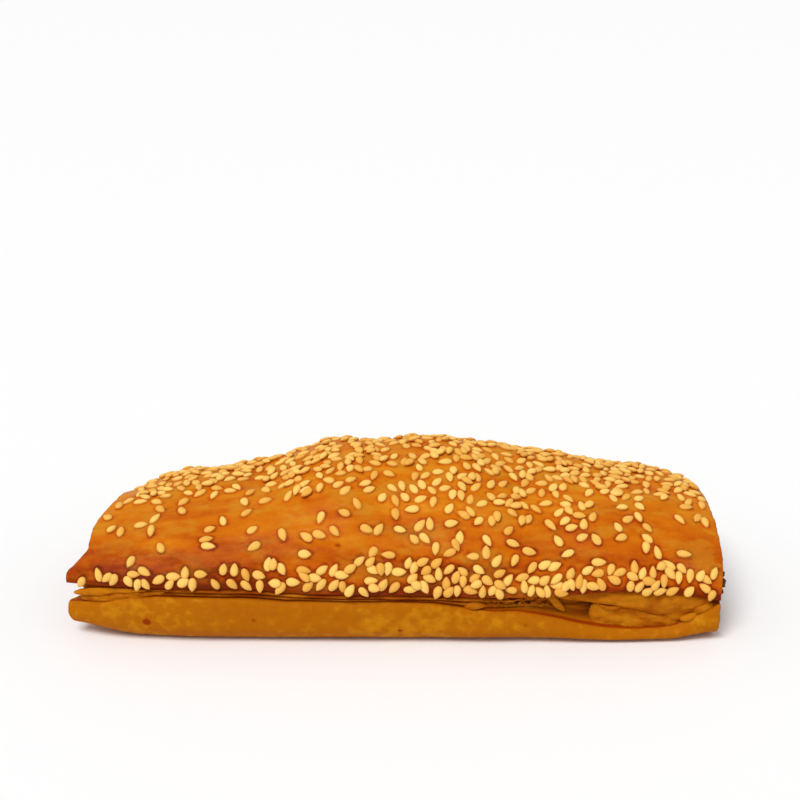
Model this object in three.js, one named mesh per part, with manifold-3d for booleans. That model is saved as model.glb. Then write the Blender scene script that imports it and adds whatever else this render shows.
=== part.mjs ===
// Spiced sausage roll: a log of spiced minced meat baked in a folded sheet of puff pastry.
// The sheet comes over the top from behind, and its edge is pressed down on the lower lip along the front.
// The seam gapes near one end, where two inner leaves of pastry show, and both ends are cut open.
// The glazed top carries sesame seeds, thick along the seam and the crown and sparse between them.
// Millimetres, +Z up: the roll lies along X with its seam facing -Y, and the origin is its base's middle.
import * as THREE from 'three';
import { LoftGeometry } from 'three/addons/geometries/LoftGeometry.js';
import { mergeVertices } from 'three/addons/utils/BufferGeometryUtils.js';
import Module from 'manifold-3d';

// Size of the roll: the sizes below are given at places from -75 to 75 along it
const HALF_LENGTH = 75;

// Height of the crown, and how far it lies behind the middle
const CROWN_HEIGHT = [
  [-75, 20.5], [-68, 24.0], [-60, 26.4], [-48, 27.8], [-34, 30.6], [-18, 35.0], [-4, 35.6],
  [8, 35.4], [22, 33.8], [38, 30.8], [54, 28.8], [66, 26.8], [75, 24.2],
];
const CROWN_SHIFT = [[-75, -7], [-60, -3], [-30, 0], [30, 0], [60, -1.5], [75, -3]];

// How far the pastry reaches to the back and to the front
const BACK_REACH = [[-75, 25.5], [-60, 29], [-30, 32.2], [30, 32.2], [60, 31], [75, 29]];
const FRONT_REACH = [[-75, 28.3], [-68, 30.4], [-58, 32], [-40, 33], [50, 33], [75, 31.8]];

// Height of the flap's lower edge, and how far the lip has come away from it
const SEAM_HEIGHT = [
  [-75, 13.0], [-60, 11.4], [-40, 10.6], [-10, 9.9], [30, 9.3], [42, 9.2], [55, 10.0], [66, 10.0],
  [75, 9.6],
];
const SEAM_GAPE = [
  [-75, 5.6], [-68, 2.6], [-60, 0.6], [5, 0.6], [28, 2.4], [42, 3.0], [50, 5.4], [57, 7.0], [66, 5.6],
  [75, 1.6],
];

// The flap's edge is set back a little from the lip, and the leaves in the seam a little more
const FLAP_SETBACK = 0.8;
const LEAF_SETBACK = 2.4;

// The back turns in under the roll below this height, and its round is a little slacker than an ellipse
const BACK_HEEL = 3;
const BACK_POWER = 1.85;

// Base: it lies flat at these shares of the way to the front, and from this share of the way to the back
const BASE_FLAT = [0, 0.45, 0.75];
const BACK_FLAT = 0.6;

// Lip: [in, up] of its foot and belly, then a share of its height, [in, down] of its shoulder, and its top
const LIP_FOOT = [3, 0.3];
const LIP_BELLY = [0.4, 2.4];
const LIP_FACE = 0.55;
const LIP_SHOULDER = [0.5, 0.9];
const LIP_TOP_IN = 1.6;

// Leaves in the seam: how far each fold lies behind their setback, and its share of the gape
const LEAF_FOLDS = [[1, 0.1], [0, 0.3], [0.8, 0.5], [-0.2, 0.75]];

// Flap: [in, up] of its root and of its underside behind the edge, and the edge's round in steps
const FLAP_ROOT = [0.8, -0.1];
const FLAP_UNDER = [0.9, 0.1];
const FLAP_EDGE_ROUND = 0.2;

// Back: [in, up] of the points round its foot
const BACK_FOOT = [[0, 3.6], [1.2, 1.2], [4.5, 0.1]];

// Swells of the baked sheet: size, waves along the roll and up the sheet in radians, and start
const SWELLS = [[0.3, 31, 3, 0], [0.25, 13, -7, 1], [0.2, 47, 11, 2]];

// Hollows of the sheet: depth, then middle and width up the sheet, then middle and width along the roll
const HOLLOWS = [[0.7, 0.3, 0.07, 0.22, 0.2], [1.1, 0.3, 0.06, 0.715, 0.03]];

// The swells fade in over the first share of the sheet, and out before the back's heel
const SWELL_FADE_IN = 0.12;
const SWELL_FADE_OUT = 1.8;

// Steps of the outline: named stretches that its control points are counted by
const FLAP_STEPS = 8;
const BACK_STEPS = 7;
const SEAM_START = 7;
const FLAP_START = 14;
const CROWN_STEP = FLAP_START + FLAP_STEPS;
const HEEL_STEP = CROWN_STEP + BACK_STEPS;
const STEPS_ROUND = HEEL_STEP + BACK_FOOT.length + 1;
const FINE_STEPS = 2;

// The left cut end leans in twice on its way up, and its foot is rounded in below a height
const LEFT_END = -75.2;
const LEFT_LEAN = 4.6;
const LEFT_LEAN_HEIGHTS = [[14, 19.5], [18, 25]];
const LEFT_FOOT_IN = 1.8;
const LEFT_FOOT_HEIGHT = 5;

// The seam's leaves are set back at the left end, fading out over some steps at both sides of the seam
const LEFT_SEAM_SETBACK = 3.5;
const SEAM_FADE = 1.5;
const SEAM_STOP = FLAP_START - 0.5;

// The right cut end leans out a little between two heights
const RIGHT_END = 74.3;
const RIGHT_LEAN = 0.9;
const RIGHT_LEAN_HEIGHTS = [11, 19];

// The base lifts a little at its two corners, from one place along the roll to another
const LEFT_LIFT = 1.7;
const LEFT_LIFT_PLACES = [-59, -74];
const RIGHT_LIFT = 0.7;
const RIGHT_LIFT_PLACES = [62, 75];
const LIFT_FADE = 10;

// Meat: its half width in the middle and at the ends, how late it narrows, and the pastry under and over it
const MEAT_HALF_WIDTH = 25.5;
const MEAT_END_HALF_WIDTH = 21.5;
const MEAT_TAPER = 4;
const PASTRY_UNDER = 5;
const PASTRY_OVER = 4.8;

// Its outline: how high its widest place lies, how square it is, and its share of the crown's shift
const MEAT_BELLY = 0.4;
const MEAT_POWER = 2.2;
const MEAT_SHIFT = 0.5;

// Its slack in the pastry, and its ends: set back on the left, proud on the right, and rounded
const MEAT_GAP = 0.4;
const MEAT_RECESS = 2;
const MEAT_PROUD = 1.2;
const MEAT_END_ROUND = 1.6;
const MEAT_END_SCALE = 0.88;

// How finely the pastry and the meat are divided, and how far the cut pastry bulges
const PASTRY_STATIONS = 36;
const TUNNEL_STATIONS = 10;
const FACE_BULGE = 0.5;

// Points nearer than this are one point, and slopes are taken over this share of the roll
const MERGE_REACH = 1e-4;
const SLOPE_SPAN = 0.01;

// Sesame seeds
const SEED_COUNT = 195;
const SEED_LENGTH = [3.2, 3.8];
const SEED_WIDTH = [2.0, 2.35];
const SEED_THICKNESS = 1.15;
const SEED_SINK = 0.12;
const SEED_SPACING = 3.3;
const SEED_SIDES = 5;

// A seed's outline, a unit long and wide: [half width, place along it], from its blunt end to its tip
const SEED_PROFILE = [[0, -0.5], [0.42, -0.26], [0.5, 0.02], [0, 0.5]];

// The band of seeds along the seam: shares up the sheet where it fades in and out, and its thinner left end
const SEED_FADE_IN = [0.01, 0.05];
const SEAM_BAND_OUT = [0.2, 0.28];
const SEAM_BAND_LEFT = 0.35;
const SEAM_BAND_LEFT_PLACES = [0.05, 0.13];

// The band on the crown starts lower in the middle of the roll, and fades out behind
const CROWN_BAND_START = 0.74;
const CROWN_BAND_DROP = { size: 0.16, middle: 0.5, width: 0.22 };
const CROWN_BAND_IN = [-0.12, 0.06];
const CROWN_BAND_OUT = [1.3, 1.85];

// Between the bands the seeds lie thinly, with two thicker places, and fade out behind
const BETWEEN_COVER = 0.2;
const BETWEEN_PATCHES = [
  { size: 0.35, middle: 0.52, width: 0.16 },
  { size: 0.25, middle: 0.9, width: 0.1 },
];
const BETWEEN_OUT = [1.4, 1.8];

// The cover is patchy: share that stays, and two waves as radians along the roll and up the sheet
const PATCH_LEVEL = 0.75;
const PATCH_WAVES = [[29, 4], [17, -9]];

// The seeds keep off the very ends and lie up to this share of the sheet
const SEED_END_MARGIN = 0.012;
const SEED_REACH_UP = 1.9;

// Random draws: a plain multiplicative generator, so that the same seeds fall each time
const SEED_DRAWS = 40000;
const SEED_START = 20641;
const DRAW_FACTOR = 16807;
const DRAW_MODULUS = 2147483647;

const wasm = await Module();
wasm.setup();

/** Smooth step from 0 at `from` to 1 at `to`. */
function ramp(from, to, value) {
  const t = Math.min(1, Math.max(0, (value - from) / (to - from)));
  return t * t * (3 - 2 * t);
}

/** A bell of height 1 round `middle`. */
function bell(value, middle, width) {
  return Math.exp(-(((value - middle) / width) ** 2));
}

/** A size at one place along the roll, on a smooth curve through the given [place, size] pairs. */
function along(stations, place) {
  const last = stations.length - 1;
  if (place <= stations[0][0]) return stations[0][1];
  if (place >= stations[last][0]) return stations[last][1];
  const i = stations.findIndex(([start], k) => start <= place && place < stations[k + 1][0]);
  const slope = (k) => {
    const [before, after] = [stations[Math.max(k - 1, 0)], stations[Math.min(k + 1, last)]];
    return (after[1] - before[1]) / (after[0] - before[0]);
  };
  const span = stations[i + 1][0] - stations[i][0];
  const t = (place - stations[i][0]) / span;
  const rise = stations[i + 1][1] - stations[i][1];
  const [leave, arrive] = [slope(i) * span, slope(i + 1) * span];
  return stations[i][1] + t * leave + t * t * (3 * rise - 2 * leave - arrive)
    + t * t * t * (leave + arrive - 2 * rise);
}

/** A quarter turn's angle at a share of it. */
function quarter(share) {
  return share * (Math.PI / 2);
}

/** Low swells and hollows of the baked sheet, at a share along the roll and a share up the sheet. */
function swell(share, up) {
  let height = 0;
  for (const [size, lengthwise, upward, start] of SWELLS) {
    height += size * Math.sin(lengthwise * share + upward * up + start);
  }
  for (const [depth, upMiddle, upWidth, middle, width] of HOLLOWS) {
    height -= depth * bell(up, upMiddle, upWidth) * bell(share, middle, width);
  }
  return height * ramp(0, SWELL_FADE_IN, up) * (1 - ramp(SWELL_FADE_OUT, 2, up));
}

/** The control points of the outline at one place along the roll: base, front, crown, back. */
function outline(place) {
  const share = (place + HALF_LENGTH) / (2 * HALF_LENGTH);
  const height = along(CROWN_HEIGHT, place);
  const middle = along(CROWN_SHIFT, place);
  const front = -along(FRONT_REACH, place);
  const back = along(BACK_REACH, place);
  const seam = along(SEAM_HEIGHT, place);
  const gape = along(SEAM_GAPE, place);
  const lip = seam - gape;
  const edge = front + FLAP_SETBACK;
  const leaf = front + LEAF_SETBACK;
  const points = [
    ...BASE_FLAT.map((part) => [part * front, 0]),
    [front + LIP_FOOT[0], LIP_FOOT[1]],
    [front + LIP_BELLY[0], LIP_BELLY[1]],
    [front, LIP_FACE * lip],
    [front + LIP_SHOULDER[0], lip - LIP_SHOULDER[1]],
    [front + LIP_TOP_IN, lip],
    ...LEAF_FOLDS.map(([inward, part]) => [leaf + inward, lip + part * gape]),
    [leaf + FLAP_ROOT[0], seam + FLAP_ROOT[1]],
    [edge + FLAP_UNDER[0], seam + FLAP_UNDER[1]],
  ];
  for (let i = 0; i < FLAP_STEPS; i += 1) {
    const angle = quarter(Math.max(i, FLAP_EDGE_ROUND) / FLAP_STEPS);
    const puff = swell(share, i / FLAP_STEPS);
    points.push([
      edge + (middle - edge) * (1 - Math.cos(angle)) - puff * Math.cos(angle),
      seam + (height - seam) * Math.sin(angle) + puff * Math.sin(angle),
    ]);
  }
  for (let i = 0; i < BACK_STEPS; i += 1) {
    const angle = quarter(i / BACK_STEPS);
    const puff = swell(share, 1 + i / BACK_STEPS);
    points.push([
      middle + (back - middle) * Math.sin(angle) ** (2 / BACK_POWER) + puff * Math.sin(angle),
      BACK_HEEL + (height - BACK_HEEL) * Math.cos(angle) ** (2 / BACK_POWER) + puff * Math.cos(angle),
    ]);
  }
  points.push(...BACK_FOOT.map(([inward, up]) => [back - inward, up]), [BACK_FLAT * back, 0]);
  return points;
}

/** Where the cut ends lie at one height: the left end, the right end. */
function ends(height) {
  let left = LEFT_END + LEFT_FOOT_IN * ramp(LEFT_FOOT_HEIGHT, 0, height);
  for (const [low, high] of LEFT_LEAN_HEIGHTS) left += LEFT_LEAN * ramp(low, high, height);
  return [left, RIGHT_END + RIGHT_LEAN * ramp(...RIGHT_LEAN_HEIGHTS, height)];
}

/** How far the base lifts off the table at one place and height. */
function lift(place, height) {
  const corner = LEFT_LIFT * ramp(...LEFT_LIFT_PLACES, place)
    + RIGHT_LIFT * ramp(...RIGHT_LIFT_PLACES, place);
  return corner * Math.max(0, 1 - height / LIFT_FADE);
}

/** The outline at one share along the roll as a curve, measured in steps of its control points. */
function outlineAt(share) {
  const place = HALF_LENGTH * (2 * share - 1);
  const points = outline(place).map(([y, z]) => new THREE.Vector3(0, y, z));
  const curve = new THREE.CatmullRomCurve3(points, true, 'catmullrom', 0.5);
  return (step) => {
    const point = curve.getPoint(step / points.length);
    const height = Math.max(0, point.z);
    const [left, right] = ends(height);
    const inSeam = ramp(SEAM_START, SEAM_START + SEAM_FADE, step)
      * (1 - ramp(SEAM_STOP - SEAM_FADE, SEAM_STOP, step));
    const start = left + LEFT_SEAM_SETBACK * inSeam;
    return new THREE.Vector3(start + (right - start) * share, point.y, height + lift(place, height));
  };
}

/** A point of the meat's outline, grown by `gap`, abreast of a step of the pastry's skin. */
function meatPoint(share, step, gap) {
  const place = HALF_LENGTH * (2 * share - 1);
  const towards = outlineAt(share)(step);
  if (step >= SEAM_START - 1 && step <= FLAP_START) towards.y = -along(FRONT_REACH, place);
  const bottom = PASTRY_UNDER;
  const top = along(CROWN_HEIGHT, place) - PASTRY_OVER;
  const middle = bottom + MEAT_BELLY * (top - bottom);
  const shift = MEAT_SHIFT * along(CROWN_SHIFT, place);
  const endness = Math.abs(2 * share - 1) ** MEAT_TAPER;
  const width = MEAT_HALF_WIDTH + (MEAT_END_HALF_WIDTH - MEAT_HALF_WIDTH) * endness + gap;
  const angle = Math.atan2(towards.z - middle, towards.y - shift);
  const tall = (Math.sin(angle) > 0 ? top - middle : middle - bottom) + gap;
  const radius = (Math.abs(Math.cos(angle) / width) ** MEAT_POWER
    + Math.abs(Math.sin(angle) / tall) ** MEAT_POWER) ** (-1 / MEAT_POWER);
  const point = new THREE.Vector3(0, shift + radius * Math.cos(angle), middle + radius * Math.sin(angle));
  const [left, right] = ends(point.z);
  point.x = left + (right - left) * share;
  return point;
}

/** The steps at which the outline is divided: one for each control point, and two low on the flap. */
function outlineSteps() {
  const steps = [];
  for (let step = 0; step < STEPS_ROUND; step += 1) {
    steps.push(step);
    if (step >= FLAP_START && step < FLAP_START + FINE_STEPS) steps.push(step + 0.5);
  }
  return steps;
}

/** A closed solid from a geometry: shared points merged, and flat slivers left out. */
function solid(geometry) {
  const bare = new THREE.BufferGeometry().copy(geometry);
  bare.deleteAttribute('normal');
  bare.deleteAttribute('uv');
  const merged = mergeVertices(bare, MERGE_REACH);
  const corners = Array.from(merged.index.array);
  const faces = [];
  for (let i = 0; i < corners.length; i += 3) {
    const [a, b, c] = corners.slice(i, i + 3);
    if (a !== b && b !== c && c !== a) faces.push(a, b, c);
  }
  return new wasm.Manifold(new wasm.Mesh({
    numProp: 3,
    vertProperties: new Float32Array(merged.attributes.position.array),
    triVerts: new Uint32Array(faces),
  }));
}

/** A three.js geometry from a solid. */
function geometryOf(body) {
  const mesh = body.getMesh();
  const geometry = new THREE.BufferGeometry();
  geometry.setAttribute('position', new THREE.BufferAttribute(mesh.vertProperties, 3));
  geometry.setIndex(new THREE.BufferAttribute(mesh.triVerts, 1));
  geometry.computeVertexNormals();
  return geometry;
}

/** The bare pastry: its skin from right to left, then back through the tunnel that holds the meat. */
function pastrySolid() {
  const steps = outlineSteps();
  const skinAt = (share) => steps.map(outlineAt(share));
  const tunnelAt = (share) => steps.map((step) => meatPoint(share, step, MEAT_GAP));
  const faceAt = (share, outward) => {
    const [skin, tunnel] = [skinAt(share), tunnelAt(share)];
    return skin.map((point, i) => {
      const middle = point.clone().lerp(tunnel[i], 0.5);
      middle.x += outward * FACE_BULGE;
      return middle;
    });
  };
  const rings = [];
  for (let i = PASTRY_STATIONS; i >= 0; i -= 1) rings.push(skinAt(i / PASTRY_STATIONS));
  rings.push(faceAt(0, -1));
  for (let i = 0; i <= TUNNEL_STATIONS; i += 1) rings.push(tunnelAt(i / TUNNEL_STATIONS));
  rings.push(faceAt(1, 1));
  rings.push(skinAt(1));
  return solid(new LoftGeometry(rings));
}

/** The meat: a log that fills the tunnel, set back at the left end and standing proud at the right. */
function meatSolid() {
  const steps = outlineSteps();
  const ringAt = (share, shift, scale) => {
    const ring = steps.map((step) => meatPoint(share, step, 0));
    const sum = ring.reduce((total, point) => total.add(point), new THREE.Vector3());
    const centre = sum.divideScalar(ring.length);
    return ring.map((point) => {
      const moved = point.clone().lerp(centre, 1 - scale);
      moved.x = point.x + shift;
      return moved;
    });
  };
  const rings = [
    ringAt(1, MEAT_PROUD, MEAT_END_SCALE),
    ringAt(1, MEAT_PROUD - MEAT_END_ROUND, 1),
  ];
  for (let i = TUNNEL_STATIONS - 1; i > 0; i -= 1) rings.push(ringAt(i / TUNNEL_STATIONS, 0, 1));
  rings.push(ringAt(0, MEAT_RECESS + MEAT_END_ROUND, 1));
  rings.push(ringAt(0, MEAT_RECESS, MEAT_END_SCALE));
  return solid(new LoftGeometry(rings, { capStart: true, capEnd: true }));
}

/** The outline's step at a share up the sheet: 0 at the seam, 1 at the crown, 2 at the back's heel. */
function stepOf(up) {
  return up < 1 ? FLAP_START + up * FLAP_STEPS : CROWN_STEP + (up - 1) * BACK_STEPS;
}

/** A point of the glazed sheet, with its outward direction and the direction along the roll. */
function sheetPoint(share, up) {
  const at = (part, height) => outlineAt(part)(stepOf(height));
  const point = at(share, up);
  const lengthwise = at(share + SLOPE_SPAN, up).sub(at(share - SLOPE_SPAN, up));
  const upward = at(share, up + SLOPE_SPAN).sub(at(share, up - SLOPE_SPAN));
  const outward = lengthwise.clone().cross(upward).normalize();
  return { point, outward, lengthwise: lengthwise.normalize() };
}

/** How thickly the seeds lie, from 0 to 1. */
function seedCover(share, up) {
  const hump = ({ size, middle, width }) => size * bell(share, middle, width);
  const fadeIn = ramp(...SEED_FADE_IN, up);
  const left = SEAM_BAND_LEFT + (1 - SEAM_BAND_LEFT) * ramp(...SEAM_BAND_LEFT_PLACES, share);
  const seamBand = fadeIn * (1 - ramp(...SEAM_BAND_OUT, up)) * left;
  const above = up - CROWN_BAND_START + hump(CROWN_BAND_DROP);
  const crownBand = ramp(...CROWN_BAND_IN, above) * (1 - ramp(...CROWN_BAND_OUT, up));
  const thin = BETWEEN_PATCHES.reduce((sum, patch) => sum + hump(patch), BETWEEN_COVER);
  const between = thin * fadeIn * (1 - ramp(...BETWEEN_OUT, up));
  const [first, second] = PATCH_WAVES.map(([lengthwise, upward]) => (
    Math.sin(lengthwise * share + upward * up)));
  return Math.max(seamBand, crownBand, between) * (PATCH_LEVEL + (1 - PATCH_LEVEL) * first * second);
}

/** The places of the seeds: random draws, kept where the cover allows and no other seed lies near. */
function scatterSeeds(count) {
  let state = SEED_START;
  const draw = () => {
    state = (state * DRAW_FACTOR) % DRAW_MODULUS;
    return state / DRAW_MODULUS;
  };
  const between = ([low, high]) => low + (high - low) * draw();
  const seeds = [];
  for (let i = 0; i < SEED_DRAWS && seeds.length < count; i += 1) {
    const share = between([SEED_END_MARGIN, 1 - SEED_END_MARGIN]);
    const [up, chance] = [SEED_REACH_UP * draw(), draw()];
    if (chance > seedCover(share, up)) continue;
    const place = sheetPoint(share, up);
    const crowded = seeds.some((other) => other.point.distanceTo(place.point) < SEED_SPACING);
    if (crowded) continue;
    const [turn, length, width] = [2 * Math.PI * draw(), between(SEED_LENGTH), between(SEED_WIDTH)];
    seeds.push({ ...place, turn, length, width });
  }
  return seeds;
}

/** One seed: a flat teardrop, blunt at one end and pointed at the other, lying along X. */
function seedGeometry() {
  const profile = SEED_PROFILE.map(([half, place]) => new THREE.Vector2(half, place));
  return new THREE.LatheGeometry(profile, SEED_SIDES).rotateZ(-Math.PI / 2);
}

/** The pastry with its seeds joined on. */
function seededPastry() {
  let body = pastrySolid();
  const seed = seedGeometry();
  for (const { point, outward, lengthwise, turn, length, width } of scatterSeeds(SEED_COUNT)) {
    const across = outward.clone().cross(lengthwise).normalize();
    const frame = new THREE.Matrix4().makeBasis(across.clone().cross(outward), across, outward);
    frame.setPosition(point.clone().addScaledVector(outward, SEED_SINK));
    frame.multiply(new THREE.Matrix4().makeRotationZ(turn));
    frame.multiply(new THREE.Matrix4().makeScale(length, width, SEED_THICKNESS));
    body = body.add(solid(seed.clone().applyMatrix4(frame)));
  }
  return body;
}

const crust = new THREE.MeshStandardMaterial({ color: '#c9750f', roughness: 0.45, metalness: 0 });
const meat = new THREE.MeshStandardMaterial({ color: '#6b3a20', roughness: 0.7, metalness: 0 });

const group = new THREE.Group();

const pastry = new THREE.Mesh(geometryOf(seededPastry()), crust);
pastry.name = 'pastry';
group.add(pastry);

const filling = new THREE.Mesh(geometryOf(meatSolid()), meat);
filling.name = 'filling';
group.add(filling);

export default group;
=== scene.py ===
"""A spiced sausage roll: a log of spiced meat baked in a folded sheet of puff pastry, with sesame seeds.

The roll lies along X with its seam towards -Y. Sizes of the food are in millimetres, as a baker would give
them, and are turned into metres where a mesh is made.
"""

import logging
import math
from dataclasses import dataclass, field
from enum import Enum

import bpy
import numpy as np
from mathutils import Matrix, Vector, kdtree, noise


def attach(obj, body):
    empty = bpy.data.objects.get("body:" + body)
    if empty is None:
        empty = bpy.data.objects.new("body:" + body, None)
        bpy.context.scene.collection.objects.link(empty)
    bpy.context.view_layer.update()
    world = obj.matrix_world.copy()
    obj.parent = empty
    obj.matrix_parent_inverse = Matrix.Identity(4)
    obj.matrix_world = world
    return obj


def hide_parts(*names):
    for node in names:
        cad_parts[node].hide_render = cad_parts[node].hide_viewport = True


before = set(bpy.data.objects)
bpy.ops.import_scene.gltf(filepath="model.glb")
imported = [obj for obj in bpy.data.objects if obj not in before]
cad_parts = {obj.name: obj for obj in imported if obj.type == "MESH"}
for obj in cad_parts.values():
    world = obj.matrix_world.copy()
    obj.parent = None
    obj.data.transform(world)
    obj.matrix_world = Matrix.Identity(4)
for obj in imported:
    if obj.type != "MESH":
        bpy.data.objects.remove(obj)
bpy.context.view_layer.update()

MM = 0.001
SAME_POINT = 1e-6
FOLD_POINT = 2e-5
SHORTEST_EDGE = 1e-7
log = logging.getLogger("sausage_roll")

Stations = tuple[tuple[float, float], ...]
Colour = tuple[float, float, float]
Range = tuple[float, float]


def ramp(low: float, high: float, value: np.ndarray | float) -> np.ndarray | float:
    """Smooth step from 0 at `low` to 1 at `high`."""
    t = np.clip((value - low) / (high - low), 0.0, 1.0)
    return t * t * (3 - 2 * t)


def bell(value: np.ndarray | float, middle: float, width: float) -> np.ndarray | float:
    """A bell of height 1 round `middle`."""
    return np.exp(-(((value - middle) / width) ** 2))


def along(stations: Stations, place: float) -> float:
    """A size at one place along the roll.

    Args:
        stations: (place, size) pairs in order.
        place: where the size is wanted.

    Returns:
        The size there, on a smooth curve through the pairs.
    """
    last = len(stations) - 1
    if place <= stations[0][0]:
        return stations[0][1]
    if place >= stations[last][0]:
        return stations[last][1]
    i = max(k for k in range(last) if stations[k][0] <= place)

    def slope(k: int) -> float:
        """The curve's slope at one station."""
        before, after = stations[max(k - 1, 0)], stations[min(k + 1, last)]
        return (after[1] - before[1]) / (after[0] - before[0])

    span = stations[i + 1][0] - stations[i][0]
    t = (place - stations[i][0]) / span
    rise = stations[i + 1][1] - stations[i][1]
    leave, arrive = slope(i) * span, slope(i + 1) * span
    return (stations[i][1] + t * leave + t * t * (3 * rise - 2 * leave - arrive)
            + t ** 3 * (leave + arrive - 2 * rise))


def grain(points: np.ndarray, scale: tuple[float, float, float], octaves: int = 1,
          start: float = 0.0) -> np.ndarray:
    """Smooth random relief at many points.

    Args:
        points: places, with a last axis of 3.
        scale: the size of a lump along each axis.
        octaves: how many finer layers are added.
        start: an offset that makes one relief differ from the next.

    Returns:
        Values from about -1 to 1, in the shape of the points.
    """
    flat = points.reshape(-1, 3) / np.array(scale) + start
    values = np.zeros(len(flat))
    weight = 1.0
    for _ in range(octaves):
        values += weight * np.fromiter((noise.noise(p) for p in flat.tolist()), float, len(flat))
        flat = flat * 2.03 + 11.7
        weight *= 0.5
    return values.reshape(points.shape[:-1])


@dataclass(frozen=True)
class Relief:
    """Smooth random relief: the size of its lumps, its layers, where it starts and how high it is."""

    lumps: tuple[float, float, float]
    octaves: int
    start: float
    height: float

    def on(self, points: np.ndarray, shift: float = 0.0) -> np.ndarray:
        """The relief's height at many points, with its start shifted."""
        return grain(points, self.lumps, self.octaves, self.start + shift) * self.height


@dataclass(frozen=True)
class Stretch:
    """A stretch of the roll or of its outline, which fades in and fades out again."""

    start: float
    full: float
    fading: float
    end: float

    def cover(self, value: np.ndarray | float) -> np.ndarray | float:
        """1 inside the stretch and 0 outside it."""
        return ramp(self.start, self.full, value) * (1 - ramp(self.fading, self.end, value))


@dataclass(frozen=True)
class Fade:
    """A strength that is full up to one value and gone at another."""

    strength: float
    full_until: float
    gone_at: float

    def at(self, value: np.ndarray | float) -> np.ndarray | float:
        """The strength that is left."""
        return self.strength * (1 - ramp(self.full_until, self.gone_at, value))


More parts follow.
